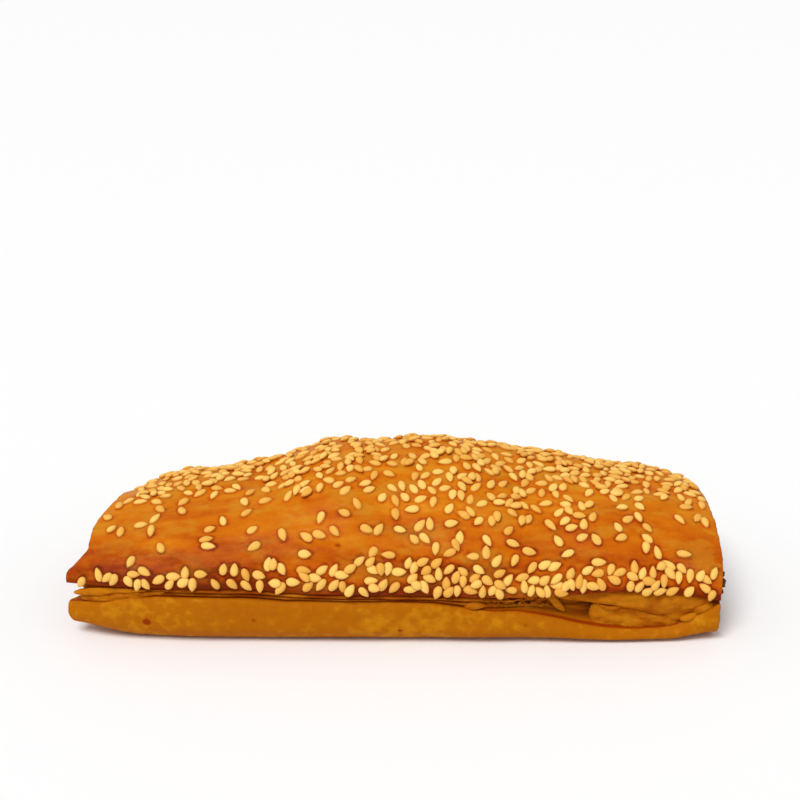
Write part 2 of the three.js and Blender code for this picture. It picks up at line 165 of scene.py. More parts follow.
@dataclass(frozen=True)
class RollForm:
    """The roll's form: its outline at every place along it, and the meat's outline inside.

    The outline is a closed curve through control points, measured in steps from the middle of the base,
    round the front, over the crown and down the back. A share from 0 to 1 runs along the roll.
    """

    half_length: float = 75
    crown_height: Stations = (
        (-75, 23.2), (-68, 25.2), (-60, 26.8), (-48, 27.8), (-34, 30.6), (-18, 35.0), (-4, 35.6),
        (8, 35.4), (22, 33.8), (38, 30.8), (54, 28.8), (66, 26.8), (75, 24.2))
    crown_shift: Stations = ((-75, -5), (-60, -3), (-30, 0), (30, 0), (60, -1.5), (75, -3))
    back_reach: Stations = ((-75, 25.5), (-60, 29), (-30, 32.2), (30, 32.2), (60, 31), (75, 29))
    front_reach: Stations = ((-75, 28.3), (-68, 30.4), (-58, 32), (-40, 33), (50, 33), (75, 31.8))
    seam_height: Stations = (
        (-75, 12.6), (-68, 13.0), (-44, 13.3), (-33, 13.2), (-22, 12.2), (-10, 11.8), (8, 11.6), (22, 11.1),
        (31, 11.2), (40, 11.8), (50, 12.5), (58, 12.2), (66, 11.4), (75, 9.7))
    seam_gape: Stations = (
        (-75, 5.2), (-68, 4.3), (-60, 2.5), (-48, 2.1), (-30, 2.1), (-20, 1.6), (8, 1.5), (14, 2.2),
        (22, 3.2), (29, 3.4), (36, 5.0), (44, 7.6), (50, 8.9), (58, 9.0), (65, 7.7), (70, 4.6), (75, 0.9))
    flap_setback: float = 0.8
    leaf_setback: Stations = (
        (-75, 2.4), (-62, 1.2), (10, 1.0), (24, 1.8), (36, 2.6), (70, 2.6), (75, 1.6))
    back_heel: float = 3
    back_power: float = 1.85
    base_flat: tuple[float, ...] = (0, 0.45, 0.75)
    back_flat: float = 0.6
    lip_foot: tuple[float, float] = (3, 0.3)
    lip_belly: tuple[float, float] = (0.4, 0.26)
    lip_face: float = 0.55
    lip_shoulder: tuple[float, float] = (0.5, 0.9)
    lip_top_in: float = 1.6
    leaf_folds: Stations = ((1, 0.1), (0, 0.3), (0.8, 0.5), (-0.2, 0.75))
    flap_root: tuple[float, float] = (0.8, -0.1)
    flap_under: tuple[float, float] = (0.9, 0.1)
    flap_edge_round: float = 0.2
    back_foot: Stations = ((0, 3.6), (1.2, 1.2), (4.5, 0.1))
    swells: tuple[tuple[float, ...], ...] = ((0.3, 31, 3, 0), (0.25, 13, -7, 1), (0.2, 47, 11, 2))
    hollows: tuple[tuple[float, ...], ...] = ((0.7, 0.3, 0.07, 0.22, 0.2), (1.1, 0.3, 0.06, 0.715, 0.03))
    swell_fade_in: float = 0.12
    swell_fade_out: float = 1.8
    flap_steps: int = 8
    back_steps: int = 7
    seam_start: int = 7
    flap_start: int = 14
    seam_fade: float = 1.5
    left_end: float = -75.2
    left_leans: tuple[tuple[float, ...], ...] = ()
    left_skews: tuple[tuple[float, ...], ...] = ((4.8, -27.4, -22.4), (3.4, -19, 2))
    left_foot_in: float = 1.8
    left_foot_height: float = 5
    left_seam_setback: float = 3.5
    right_end: float = 74.3
    right_lean: float = 0.9
    right_lean_heights: tuple[float, float] = (11, 19)
    left_lift: float = 1.7
    left_lift_places: tuple[float, float] = (-59, -74)
    right_lift: float = 0.7
    right_lift_places: tuple[float, float] = (62, 75)
    lift_fade: float = 10
    meat_half_width: float = 25.5
    meat_end_half_width: float = 21.5
    meat_taper: float = 4
    pastry_under: float = 5
    pastry_over: float = 4.8
    meat_belly: float = 0.4
    meat_power: float = 2.2
    meat_shift: float = 0.5

    @property
    def crown_step(self) -> int:
        """The step at which the outline passes the crown."""
        return self.flap_start + self.flap_steps

    @property
    def heel_step(self) -> int:
        """The step at which the back starts to turn in under the roll."""
        return self.crown_step + self.back_steps

    @property
    def steps(self) -> int:
        """How many steps go once round the outline."""
        return self.heel_step + len(self.back_foot) + 1

    def place(self, share: float) -> float:
        """The place along the roll at one share."""
        return self.half_length * (2 * share - 1)

    def share(self, place: float) -> float:
        """The share along the roll at one place."""
        return (place / self.half_length + 1) / 2

    def swell(self, share: float, up: float) -> float:
        """Low swells and dents of the baked sheet.

        Args:
            share: how far along the roll.
            up: how far up the sheet: 0 at the seam, 1 at the crown, 2 at the back's heel.

        Returns:
            How far the sheet stands out there.
        """
        height = sum(size * math.sin(lengthwise * share + upward * up + start)
                     for size, lengthwise, upward, start in self.swells)
        height -= sum(depth * bell(up, up_middle, up_width) * bell(share, middle, width)
                      for depth, up_middle, up_width, middle, width in self.hollows)
        return height * ramp(0, self.swell_fade_in, up) * (1 - ramp(self.swell_fade_out, 2, up))

    def outline(self, share: float) -> np.ndarray:
        """The outline's control points at one share along the roll.

        Args:
            share: how far along the roll.

        Returns:
            An array of (y, z) pairs.
        """
        place = self.place(share)
        height, middle = along(self.crown_height, place), along(self.crown_shift, place)
        front, back = -along(self.front_reach, place), along(self.back_reach, place)
        seam, gape = along(self.seam_height, place), along(self.seam_gape, place)
        lip, edge = seam - gape, front + self.flap_setback
        leaf = front + along(self.leaf_setback, place)
        points = [
            *((part * front, 0) for part in self.base_flat),
            (front + self.lip_foot[0], self.lip_foot[1]),
            (front + self.lip_belly[0], self.lip_belly[1] * lip),
            (front, self.lip_face * lip),
            (front + self.lip_shoulder[0], lip - self.lip_shoulder[1]),
            (front + self.lip_top_in, lip),
            *((leaf + inward, lip + part * gape) for inward, part in self.leaf_folds),
            (leaf + self.flap_root[0], seam + self.flap_root[1]),
            (edge + self.flap_under[0], seam + self.flap_under[1])]
        for i in range(self.flap_steps):
            angle = max(i, self.flap_edge_round) / self.flap_steps * math.pi / 2
            puff = self.swell(share, i / self.flap_steps)
            points.append((edge + (middle - edge) * (1 - math.cos(angle)) - puff * math.cos(angle),
                           seam + (height - seam) * math.sin(angle) + puff * math.sin(angle)))
        for i in range(self.back_steps):
            angle = i / self.back_steps * math.pi / 2
            puff = self.swell(share, 1 + i / self.back_steps)
            power = 2 / self.back_power
            points.append((middle + (back - middle) * math.sin(angle) ** power + puff * math.sin(angle),
                           self.back_heel + (height - self.back_heel) * math.cos(angle) ** power
                           + puff * math.cos(angle)))
        points += [(back - inward, rise) for inward, rise in self.back_foot]
        points.append((self.back_flat * back, 0))
        return np.array(points, float)

    def ends(self, depth: np.ndarray, height: np.ndarray) -> tuple[np.ndarray, np.ndarray]:
        """Where the left and right cut ends lie at the given depths and heights."""
        left = self.left_end + self.left_foot_in * ramp(self.left_foot_height, 0, height)
        for size, low, high in self.left_leans:
            left = left + size * ramp(low, high, height)
        for size, near, far in self.left_skews:
            left = left + size * ramp(near, far, depth)
        return left, self.right_end + self.right_lean * ramp(*self.right_lean_heights, height)

    def skin(self, share: float, steps: np.ndarray) -> np.ndarray:
        """Points of the pastry's skin at one share along the roll.

        Args:
            share: how far along the roll.
            steps: where round the outline.

        Returns:
            One (x, y, z) row for each step.
        """
        control = self.outline(share)
        count = len(control)
        whole = np.floor(steps).astype(int)
        t = (steps - whole)[:, None]
        p0, p1, p2, p3 = (control[(whole + k) % count] for k in (-1, 0, 1, 2))
        yz = 0.5 * (2 * p1 + (p2 - p0) * t + (2 * p0 - 5 * p1 + 4 * p2 - p3) * t ** 2
                    + (3 * p1 - p0 - 3 * p2 + p3) * t ** 3)
        height = np.maximum(0, yz[:, 1])
        left, right = self.ends(yz[:, 0], height)
        wrapped = steps % count
        stop = self.flap_start - 0.5
        in_seam = (ramp(self.seam_start, self.seam_start + self.seam_fade, wrapped)
                   * (1 - ramp(stop - self.seam_fade, stop, wrapped)))
        left = left + self.left_seam_setback * in_seam
        place = self.place(share)
        corner = (self.left_lift * ramp(*self.left_lift_places, place)
                  + self.right_lift * ramp(*self.right_lift_places, place))
        lift = corner * np.maximum(0, 1 - height / self.lift_fade)
        return np.stack([left + (right - left) * share, yz[:, 0], height + lift], axis=1)

    def meat(self, share: float, steps: np.ndarray, gap: float) -> np.ndarray:
        """Points of the meat's outline abreast of the skin's.

        Args:
            share: how far along the roll.
            steps: where round the outline.
            gap: how far outside the meat the points lie.

        Returns:
            One (x, y, z) row for each step.
        """
        place = self.place(share)
        towards = self.skin(share, steps)
        wrapped = steps % self.steps
        beside_seam = (wrapped >= self.seam_start - 1) & (wrapped <= self.flap_start)
        towards[beside_seam, 1] = -along(self.front_reach, place)
        bottom, top = self.pastry_under, along(self.crown_height, place) - self.pastry_over
        middle = bottom + self.meat_belly * (top - bottom)
        shift = self.meat_shift * along(self.crown_shift, place)
        endness = abs(2 * share - 1) ** self.meat_taper
        width = self.meat_half_width + (self.meat_end_half_width - self.meat_half_width) * endness + gap
        angle = np.arctan2(towards[:, 2] - middle, towards[:, 1] - shift)
        tall = np.where(np.sin(angle) > 0, top - middle, middle - bottom) + gap
        radius = (np.abs(np.cos(angle) / width) ** self.meat_power
                  + np.abs(np.sin(angle) / tall) ** self.meat_power) ** (-1 / self.meat_power)
        depth, height = shift + radius * np.cos(angle), middle + radius * np.sin(angle)
        left, right = self.ends(depth, height)
        return np.stack([left + (right - left) * share, depth, height], axis=1)

    def step_of(self, up: float) -> float:
        """The outline's step at one share up the sheet."""
        if up < 1:
            return self.flap_start + up * self.flap_steps
        return self.crown_step + (up - 1) * self.back_steps


# The simpler form of the CAD model: its seam is more even, and its left end leans in with height
PLAIN_FORM = RollForm(
    crown_height=(
        (-75, 20.5), (-68, 24.0), (-60, 26.4), (-48, 27.8), (-34, 30.6), (-18, 35.0), (-4, 35.6),
        (8, 35.4), (22, 33.8), (38, 30.8), (54, 28.8), (66, 26.8), (75, 24.2)),
    crown_shift=((-75, -7), (-60, -3), (-30, 0), (30, 0), (60, -1.5), (75, -3)),
    seam_height=(
        (-75, 13.0), (-60, 11.4), (-40, 10.6), (-10, 9.9), (30, 9.3), (42, 9.2), (55, 10.0), (66, 10.0),
        (75, 9.6)),
    seam_gape=(
        (-75, 5.6), (-68, 2.6), (-60, 0.6), (5, 0.6), (28, 2.4), (42, 3.0), (50, 5.4), (57, 7.0),
        (66, 5.6), (75, 1.6)),
    leaf_setback=((-75, 2.4), (75, 2.4)),
    left_leans=((4.6, 14, 19.5), (4.6, 18, 25)),
    left_skews=())


class Wire:
    """One output of a shader node, which can be used in arithmetic."""

    def __init__(self, bench: "Bench", socket: bpy.types.NodeSocket) -> None:
        """Keeps the bench that the node stands on, and its output socket."""
        self.bench = bench
        self.socket = socket

    def __add__(self, other: "Wire | float") -> "Wire":
        """Sum."""
        return self.bench.maths("ADD", self, other)

    def __sub__(self, other: "Wire | float") -> "Wire":
        """Difference."""
        return self.bench.maths("SUBTRACT", self, other)

    def __rsub__(self, other: "Wire | float") -> "Wire":
        """Difference from a number."""
        return self.bench.maths("SUBTRACT", other, self)

    def __mul__(self, other: "Wire | float") -> "Wire":
        """Product."""
        return self.bench.maths("MULTIPLY", self, other)

    def above(self, low: float, high: float) -> "Wire":
        """Smooth step from 0 at `low` to 1 at `high`."""
        return self.bench.node("ShaderNodeMapRange", {"interpolation_type": "SMOOTHSTEP"},
                               {"Value": self, "From Min": low, "From Max": high})

    def limited(self) -> "Wire":
        """The value kept from 0 to 1."""
        return self.bench.node("ShaderNodeClamp", {}, {"Value": self})


class Bench:
    """The node tree of one material, with short ways to add nodes to it."""

    def __init__(self, name: str) -> None:
        """Starts an empty material of the given name."""
        self.material = bpy.data.materials.new(name)
        self.material.use_nodes = True
        self.tree = self.material.node_tree
        self.tree.nodes.clear()

    def node(self, kind: str, settings: dict[str, object], values: dict[str | int, object],
             output: str | int = 0) -> Wire:
        """Adds one node.

        Args:
            kind: the node's type.
            settings: its settings, or the stops of a colour ramp.
            values: values or wires for its input sockets, by name or number.
            output: which output is wanted.

        Returns:
            That output, as a wire.
        """
        made = self.tree.nodes.new(kind)
        for name, value in settings.items():
            if name == "stops":
                self._set_stops(made.color_ramp, value)
            else:
                setattr(made, name, value)
        for name, value in values.items():
            if isinstance(value, Wire):
                self.tree.links.new(value.socket, made.inputs[name])
            else:
                made.inputs[name].default_value = value
        return Wire(self, made.outputs[output])

    @staticmethod
    def _set_stops(colour_ramp: bpy.types.ColorRamp, stops: list[tuple[float, Colour]]) -> None:
        """Sets the stops of a colour ramp."""
        while len(colour_ramp.elements) < len(stops):
            colour_ramp.elements.new(0.5)
        for element, (place, colour) in zip(colour_ramp.elements, stops):
            element.position = place
            element.color = (*colour, 1.0)

    def maths(self, operation: str, first: Wire | float, second: Wire | float) -> Wire:
        """One sum, product or the like of two values."""
        return self.node("ShaderNodeMath", {"operation": operation}, {0: first, 1: second})

    def blend(self, share: Wire | float, first: Wire | Colour, second: Wire | Colour) -> Wire:
        """A mix of two colours."""
        values = {0: share}
        for number, colour in ((6, first), (7, second)):
            values[number] = colour if isinstance(colour, Wire) else (*colour, 1.0)
        settings = {"data_type": "RGBA", "blend_type": "MIX", "clamp_result": False}
        return self.node("ShaderNodeMix", settings, values, 2)

    def measure(self, name: str) -> Wire:
        """A number that the mesh carries at each point."""
        return self.node("ShaderNodeAttribute", {"attribute_name": name}, {}, "Fac")

    def spot(self, scale: tuple[float, float, float] | None = None) -> Wire:
        """Object coordinates, stretched by a scale for each axis."""
        place = self.node("ShaderNodeTexCoord", {}, {}, "Object")
        if scale is None:
            return place
        return self.node("ShaderNodeMapping", {}, {"Vector": place, "Scale": scale}, "Vector")

    def cloud(self, place: Wire, scale: float, detail: float = 3.0, roughness: float = 0.55) -> Wire:
        """Cloudy noise from 0 to 1."""
        values = {"Vector": place, "Scale": scale, "Detail": detail, "Roughness": roughness}
        return self.node("ShaderNodeTexNoise", {}, values, "Fac")

    def bump(self, height: Wire, strength: float, distance: float, below: Wire | None = None) -> Wire:
        """Fine relief of the surface."""
        values = {"Height": height, "Strength": strength, "Distance": distance}
        if below is not None:
            values["Normal"] = below
        return self.node("ShaderNodeBump", {}, values, "Normal")

    def finish(self, values: dict[str, object]) -> bpy.types.Material:
        """Adds the surface shader with the given values and returns the material."""
        surface = self.node("ShaderNodeBsdfPrincipled", {}, values, "BSDF")
        output = self.tree.nodes.new("ShaderNodeOutputMaterial")
        self.tree.links.new(surface.socket, output.inputs["Surface"])
        return self.material


def srgb(red: int, green: int, blue: int) -> Colour:
    """A colour as the eye names it, from 0 to 255, turned into light."""
    return tuple(c / 255 / 12.92 if c <= 10 else ((c / 255 + 0.055) / 1.055) ** 2.4
                 for c in (red, green, blue))


@dataclass(frozen=True)
class CrustFinish:
    """Baked puff pastry: orange and a little glossy where it was glazed, duller on the lip and the cuts."""

    straw: Colour = srgb(204, 138, 32)
    golden: Colour = srgb(220, 138, 26)
    amber: Colour = srgb(208, 114, 7)
    orange: Colour = srgb(198, 97, 3)
    tawny: Colour = srgb(176, 74, 2)
    russet: Colour = srgb(146, 50, 0)
    scorched: Colour = srgb(116, 36, 0)
    lip: Colour = srgb(179, 101, 1)
    lip_bloom: Colour = srgb(197, 126, 10)
    lip_shade: Colour = srgb(176, 94, 2)
    crumb: Colour = srgb(200, 128, 26)
    crumb_shade: Colour = srgb(170, 82, 2)
    # toasted layers; inside the seam it also stands for painted shade in the crease and the hollow
    toasted_layer: Colour = srgb(136, 46, 0)
    juice: Colour = srgb(74, 30, 20)
    patch_size: tuple[float, ...] = (0.4, 1.0, 1.2)
    streak_size: tuple[float, ...] = (0.22, 1.0, 1.0)
    wrinkle_size: tuple[float, ...] = (0.35, 1.0, 1.0)
    straw_size: tuple[float, ...] = (0.5, 1.0, 1.3)
    patch_scale: float = 105
    straw_scale: float = 210
    streak_scale: float = 420
    mottle_scale: float = 430
    wrinkle_scale: float = 520
    speckle_scale: float = 1700
    pore_scale: float = 2300
    patch_bake: float = 0.7
    streak_bake: float = 0.55
    mottle_bake: float = 0.32
    speckle_bake: float = 0.12
    speckle_shine: float = 0.12
    # strength of the browner glaze and painted contact shade round the seeds
    seed_ring_browning_and_shade_strength: float = 0.3
    straw_range: Range = (0.48, 0.62)
    straw_share: float = 0.75
    bloom_mottle: float = 0.55
    bloom_range: Range = (0.48, 0.66)
    shade_range: Range = (0.47, 0.34)
    lip_brown_from: float = 0.35
    lip_brown_span: float = 0.6
    toasted_range: Range = (0.3, 1.0)
    leaf_mottle: float = 0.5
    juice_mottle: float = 0.9
    juice_range: Range = (0.35, 0.7)
    wrinkle_bump: Range = (0.45, 0.0006)
    pore_bump: Range = (0.2, 0.00014)
    rough: float = 0.6
    glaze_shine: float = 0.16
    gloss_shine: float = 0.25
    cut_dullness: float = 0.2
    specular: float = 0.05
    coat: float = 0.6
    coat_roughness: float = 0.2

    def _glazed(self, bench: Bench, brown: Wire, patches: Wire, mottle: Wire, speckle: Wire) -> Wire:
        """The glazed sheet's colour, from how brown it has baked, with the painted shade and highlights that
        the browning carries.
        """
        streaks = bench.cloud(bench.spot(self.streak_size), self.streak_scale, 3)
        # the sheet's bake here also takes in painted shade, from the browning measure and from the ring round
        # each seed
        bake_and_shade = (brown + (patches - 0.5) * self.patch_bake + (streaks - 0.5) * self.streak_bake
                + (mottle - 0.5) * self.mottle_bake + (speckle - 0.5) * self.speckle_bake
                + bench.measure("seed_ring_browning_and_shade") * self.seed_ring_browning_and_shade_strength).limited()
        glazed = bench.node("ShaderNodeValToRGB", {"stops": [
            (0.0, self.golden), (0.25, self.amber), (0.45, self.orange), (0.66, self.tawny),
            (0.84, self.russet), (1.0, self.scorched)]}, {"Fac": bake_and_shade}, "Color")
        straw = bench.cloud(bench.spot(self.straw_size), self.straw_scale, 5, 0.6)
        strawy = straw.above(*self.straw_range) * (1 - brown).limited()
        return bench.blend(strawy * self.straw_share, glazed, self.straw)

    def _bare(self, bench: Bench, brown: Wire, patches: Wire, mottle: Wire) -> Wire:
        """The unglazed lip's colour: mottled, with browner rims and spots."""
        bloom = mottle * self.bloom_mottle + patches * (1 - self.bloom_mottle)
        bare = bench.blend(bloom.above(*self.bloom_range), self.lip, self.lip_bloom)
        bare = bench.blend(bloom.above(*self.shade_range), bare, self.lip_shade)
        return bench.blend((brown - self.lip_brown_from).above(0.0, self.lip_brown_span), bare, self.russet)

    def _cut(self, bench: Bench, brown: Wire, mottle: Wire) -> Wire:
        """The colour of the cut layers and of the inside of the seam, where the toasted colour also carries
        painted shade.
        """
        leaf = (bench.measure("leaf") + (mottle - 0.5) * self.leaf_mottle).limited()
        layers = bench.blend(leaf, self.crumb, self.crumb_shade)
        return bench.blend(brown.above(*self.toasted_range), layers, self.toasted_layer)

    def material(self) -> bpy.types.Material:
        """Builds the crust's material."""
        bench = Bench("baked_crust")
        place = bench.spot()
        # browning also carries painted shade inside the seam, in its holes, low on the flap and in one dent,
        # and painted highlights in three paler patches
        glaze, brown, cut = bench.measure("glaze"), bench.measure("browning"), bench.measure("cut")
        patches = bench.cloud(bench.spot(self.patch_size), self.patch_scale, 3)
        mottle = bench.cloud(place, self.mottle_scale, 4)
        speckle = bench.cloud(place, self.speckle_scale, 3)
        skin = bench.blend(glaze, self._bare(bench, brown, patches, mottle),
                           self._glazed(bench, brown, patches, mottle, speckle))
        colour = bench.blend(cut, skin, self._cut(bench, brown, mottle))
        juice = bench.measure("juice") + (mottle - 0.5) * self.juice_mottle
        colour = bench.blend(juice.above(*self.juice_range), colour, self.juice)
        wrinkle = bench.cloud(bench.spot(self.wrinkle_size), self.wrinkle_scale, 4, 0.5)
        pores = bench.cloud(place, self.pore_scale, 3)
        relief = bench.bump(pores, *self.pore_bump, bench.bump(wrinkle, *self.wrinkle_bump))
        gloss = bench.measure("gloss")
        shine = (self.rough - glaze * self.glaze_shine - gloss * self.gloss_shine
                 + cut * self.cut_dullness + (speckle - 0.5) * self.speckle_shine)
        return bench.finish({
            "Base Color": colour, "Roughness": shine.limited(), "Normal": relief,
            "Specular IOR Level": self.specular, "Coat Weight": gloss * self.coat * (1 - cut),
            "Coat Roughness": self.coat_roughness})


@dataclass(frozen=True)
class LeafFinish:
    """The soft inner leaves that show in the seam: pale dough, with painted shade set for each fold and
    broken up by noise.
    """

    pale: Colour = srgb(194, 118, 12)
    warm: Colour = srgb(172, 88, 3)
    # the colour of the painted shade on the deeper folds and in noisy veins
    hollow: Colour = srgb(152, 58, 0)
    cloud_scale: float = 420
    cloud_share: float = 2.2
    vein_size: tuple[float, ...] = (0.35, 1.0, 1.0)
    vein_scale: float = 640
    vein_middle: float = 0.55
    vein_share: float = 1.6
    relief_size: tuple[float, ...] = (0.4, 1.0, 1.0)
    relief_scale: float = 900
    relief_bump: Range = (0.6, 0.0005)
    rough: float = 0.6
    specular: float = 0.04

    def material(self) -> bpy.types.Material:
        """Builds the leaves' material."""
        bench = Bench("inner_leaves")
        cloud = bench.cloud(bench.spot(), self.cloud_scale, 5, 0.62)
        warmth = bench.measure("tone") + (cloud - 0.5) * self.cloud_share
        colour = bench.blend(warmth.limited(), self.pale, self.warm)
        veins = bench.cloud(bench.spot(self.vein_size), self.vein_scale, 4, 0.6)
        shade = bench.measure("shade") + (veins - self.vein_middle) * self.vein_share
        colour = bench.blend(shade.limited(), colour, self.hollow)
        wrinkles = bench.cloud(bench.spot(self.relief_size), self.relief_scale, 4, 0.6)
        return bench.finish({
            "Base Color": colour, "Roughness": self.rough,
            "Normal": bench.bump(wrinkles, *self.relief_bump), "Specular IOR Level": self.specular})


@dataclass(frozen=True)
class SeedFinish:
    """Hulled sesame: cream and orange, a little warmer where it has toasted, and darker and warmer at the
    rim, which is painted shade with a little of the egg glaze's colour.
    """

    cream: Colour = srgb(253, 206, 108)
    toasted: Colour = srgb(236, 172, 72)
    shade: Colour = srgb(204, 120, 34)
    mottle_scale: float = 1300
    mottle_share: float = 0.5
    rim_shade_share: float = 0.6
    relief_scale: float = 3000
    relief_bump: Range = (0.12, 0.00008)
    rough: float = 0.5
    specular: float = 0.1

    def material(self) -> bpy.types.Material:
        """Builds the seeds' material."""
        bench = Bench("sesame")
        mottle = bench.cloud(bench.spot(), self.mottle_scale, 2)
        toast = bench.measure("tone") + (mottle - 0.5) * self.mottle_share
        colour = bench.blend(toast.limited(), self.cream, self.toasted)
        # the rim measure lays painted shade round each seed's edge, tinted a little by the egg glaze
        colour = bench.blend(bench.measure("rim") * self.rim_shade_share, colour, self.shade)
        relief = bench.bump(bench.cloud(bench.spot(), self.relief_scale, 2), *self.relief_bump)
        return bench.finish({
            "Base Color": colour, "Roughness": self.rough, "Normal": relief,
            "Specular IOR Level": self.specular})


@dataclass(frozen=True)
class MeatFinish:
    """Baked spiced mince: brown, darker where juice has dried on it."""

    lean: Colour = srgb(146, 84, 48)
    dark: Colour = srgb(86, 40, 16)
    fat: Colour = srgb(196, 140, 92)
    crumb_scale: float = 480
    crumb_bump: Range = (0.6, 0.0006)
    cloud_scale: float = 300
    dark_range: Range = (0.4, 0.62)
    fat_scale: float = 700
    fat_range: Range = (0.6, 0.68)
    fat_share: float = 0.6
    rough: float = 0.5
    specular: float = 0.15

    def material(self) -> bpy.types.Material:
        """Builds the meat's material."""
        bench = Bench("spiced_meat")
        place = bench.spot()
        cell_values = {"Vector": place, "Scale": self.crumb_scale}
        crumbs = bench.node("ShaderNodeTexVoronoi", {}, cell_values, "Distance")
        dark = bench.cloud(place, self.cloud_scale, 4).above(*self.dark_range)
        fat = bench.cloud(place, self.fat_scale, 2).above(*self.fat_range)
        colour = bench.blend(dark, self.lean, self.dark)
        colour = bench.blend(fat * self.fat_share, colour, self.fat)
        colour = bench.blend(bench.measure("juice"), colour, self.dark)
        return bench.finish({
            "Base Color": colour, "Roughness": self.rough,
            "Normal": bench.bump(crumbs, *self.crumb_bump), "Specular IOR Level": self.specular})


@dataclass(frozen=True)
class PaperFinish:
    """The plain pale floor."""

    tone: Colour = (0.96, 0.96, 0.96)
    rough: float = 0.9

    def material(self) -> bpy.types.Material:
        """Builds the floor's material."""
        return Bench("pale_floor").finish({"Base Color": (*self.tone, 1.0), "Roughness": self.rough})


def grid_mesh(name: str, points: np.ndarray) -> bpy.types.Object:
    """A sheet of dough from a grid primitive, laid through the given points, in millimetres.

    Args:
        name: the piece's name.
        points: (rows, columns, 3) places.

    Returns:
        The new object.
    """
    rows, columns = points.shape[:2]
    bpy.ops.object.select_all(action="DESELECT")
    bpy.ops.mesh.primitive_grid_add(x_subdivisions=columns - 1, y_subdivisions=rows - 1, size=1.0)
    sheet = bpy.context.object
    sheet.name = sheet.data.name = name
    sheet.data.vertices.foreach_set("co", (points * MM).astype(np.float32).ravel())
    return sheet


def put_measure(piece: bpy.types.Object, name: str, values: np.ndarray) -> None:
    """Lets a mesh carry a number at each of its points."""
    layer = piece.data.attributes.new(name, "FLOAT", "POINT")
    layer.data.foreach_set("value", values.astype(np.float32).ravel())


def close_up(piece: bpy.types.Object, reach: float = SAME_POINT) -> None:
    """Merges a mesh's repeated points and turns its faces outwards."""
    bpy.ops.object.select_all(action="DESELECT")
    bpy.context.view_layer.objects.active = piece
    piece.select_set(True)
    bpy.ops.object.mode_set(mode="EDIT")
    bpy.ops.mesh.select_all(action="SELECT")
    bpy.ops.mesh.remove_doubles(threshold=reach)
    bpy.ops.mesh.dissolve_degenerate(threshold=SHORTEST_EDGE)
    bpy.ops.mesh.normals_make_consistent(inside=False)
    bpy.ops.object.mode_set(mode="OBJECT")
    bpy.ops.object.shade_smooth()


def join(name: str, pieces: list[bpy.types.Object]) -> bpy.types.Object:
    """Joins several meshes into one piece."""
    bpy.ops.object.select_all(action="DESELECT")
    for piece in pieces:
        piece.select_set(True)
    bpy.context.view_layer.objects.active = pieces[0]
    bpy.ops.object.join()
    joined = bpy.context.object
    joined.name = joined.data.name = name
    return joined


def dress(piece: bpy.types.Object, finish: bpy.types.Material, node: str) -> None:
    """Gives a piece its material, lets it ride with the roll, and lets it stand for its CAD node."""
    piece.data.materials.clear()
    piece.data.materials.append(finish)
    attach(piece, "root")
    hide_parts(node)
    triangles = sum(len(face.vertices) - 2 for face in piece.data.polygons)
    log.info("%s: %d triangles", piece.name, triangles)


@dataclass(frozen=True)
class Patch:
    """A soft patch of the crust: where its middle lies, how wide it is, and how strong."""

    place: float
    place_width: float
    middle: float
    width: float
    strength: float

    def at(self, place: np.ndarray | float, other: np.ndarray | float) -> np.ndarray | float:
        """The patch's strength at a place along the roll and a second measure."""
        return (self.strength * bell(place, self.place, self.place_width)
                * bell(other, self.middle, self.width))


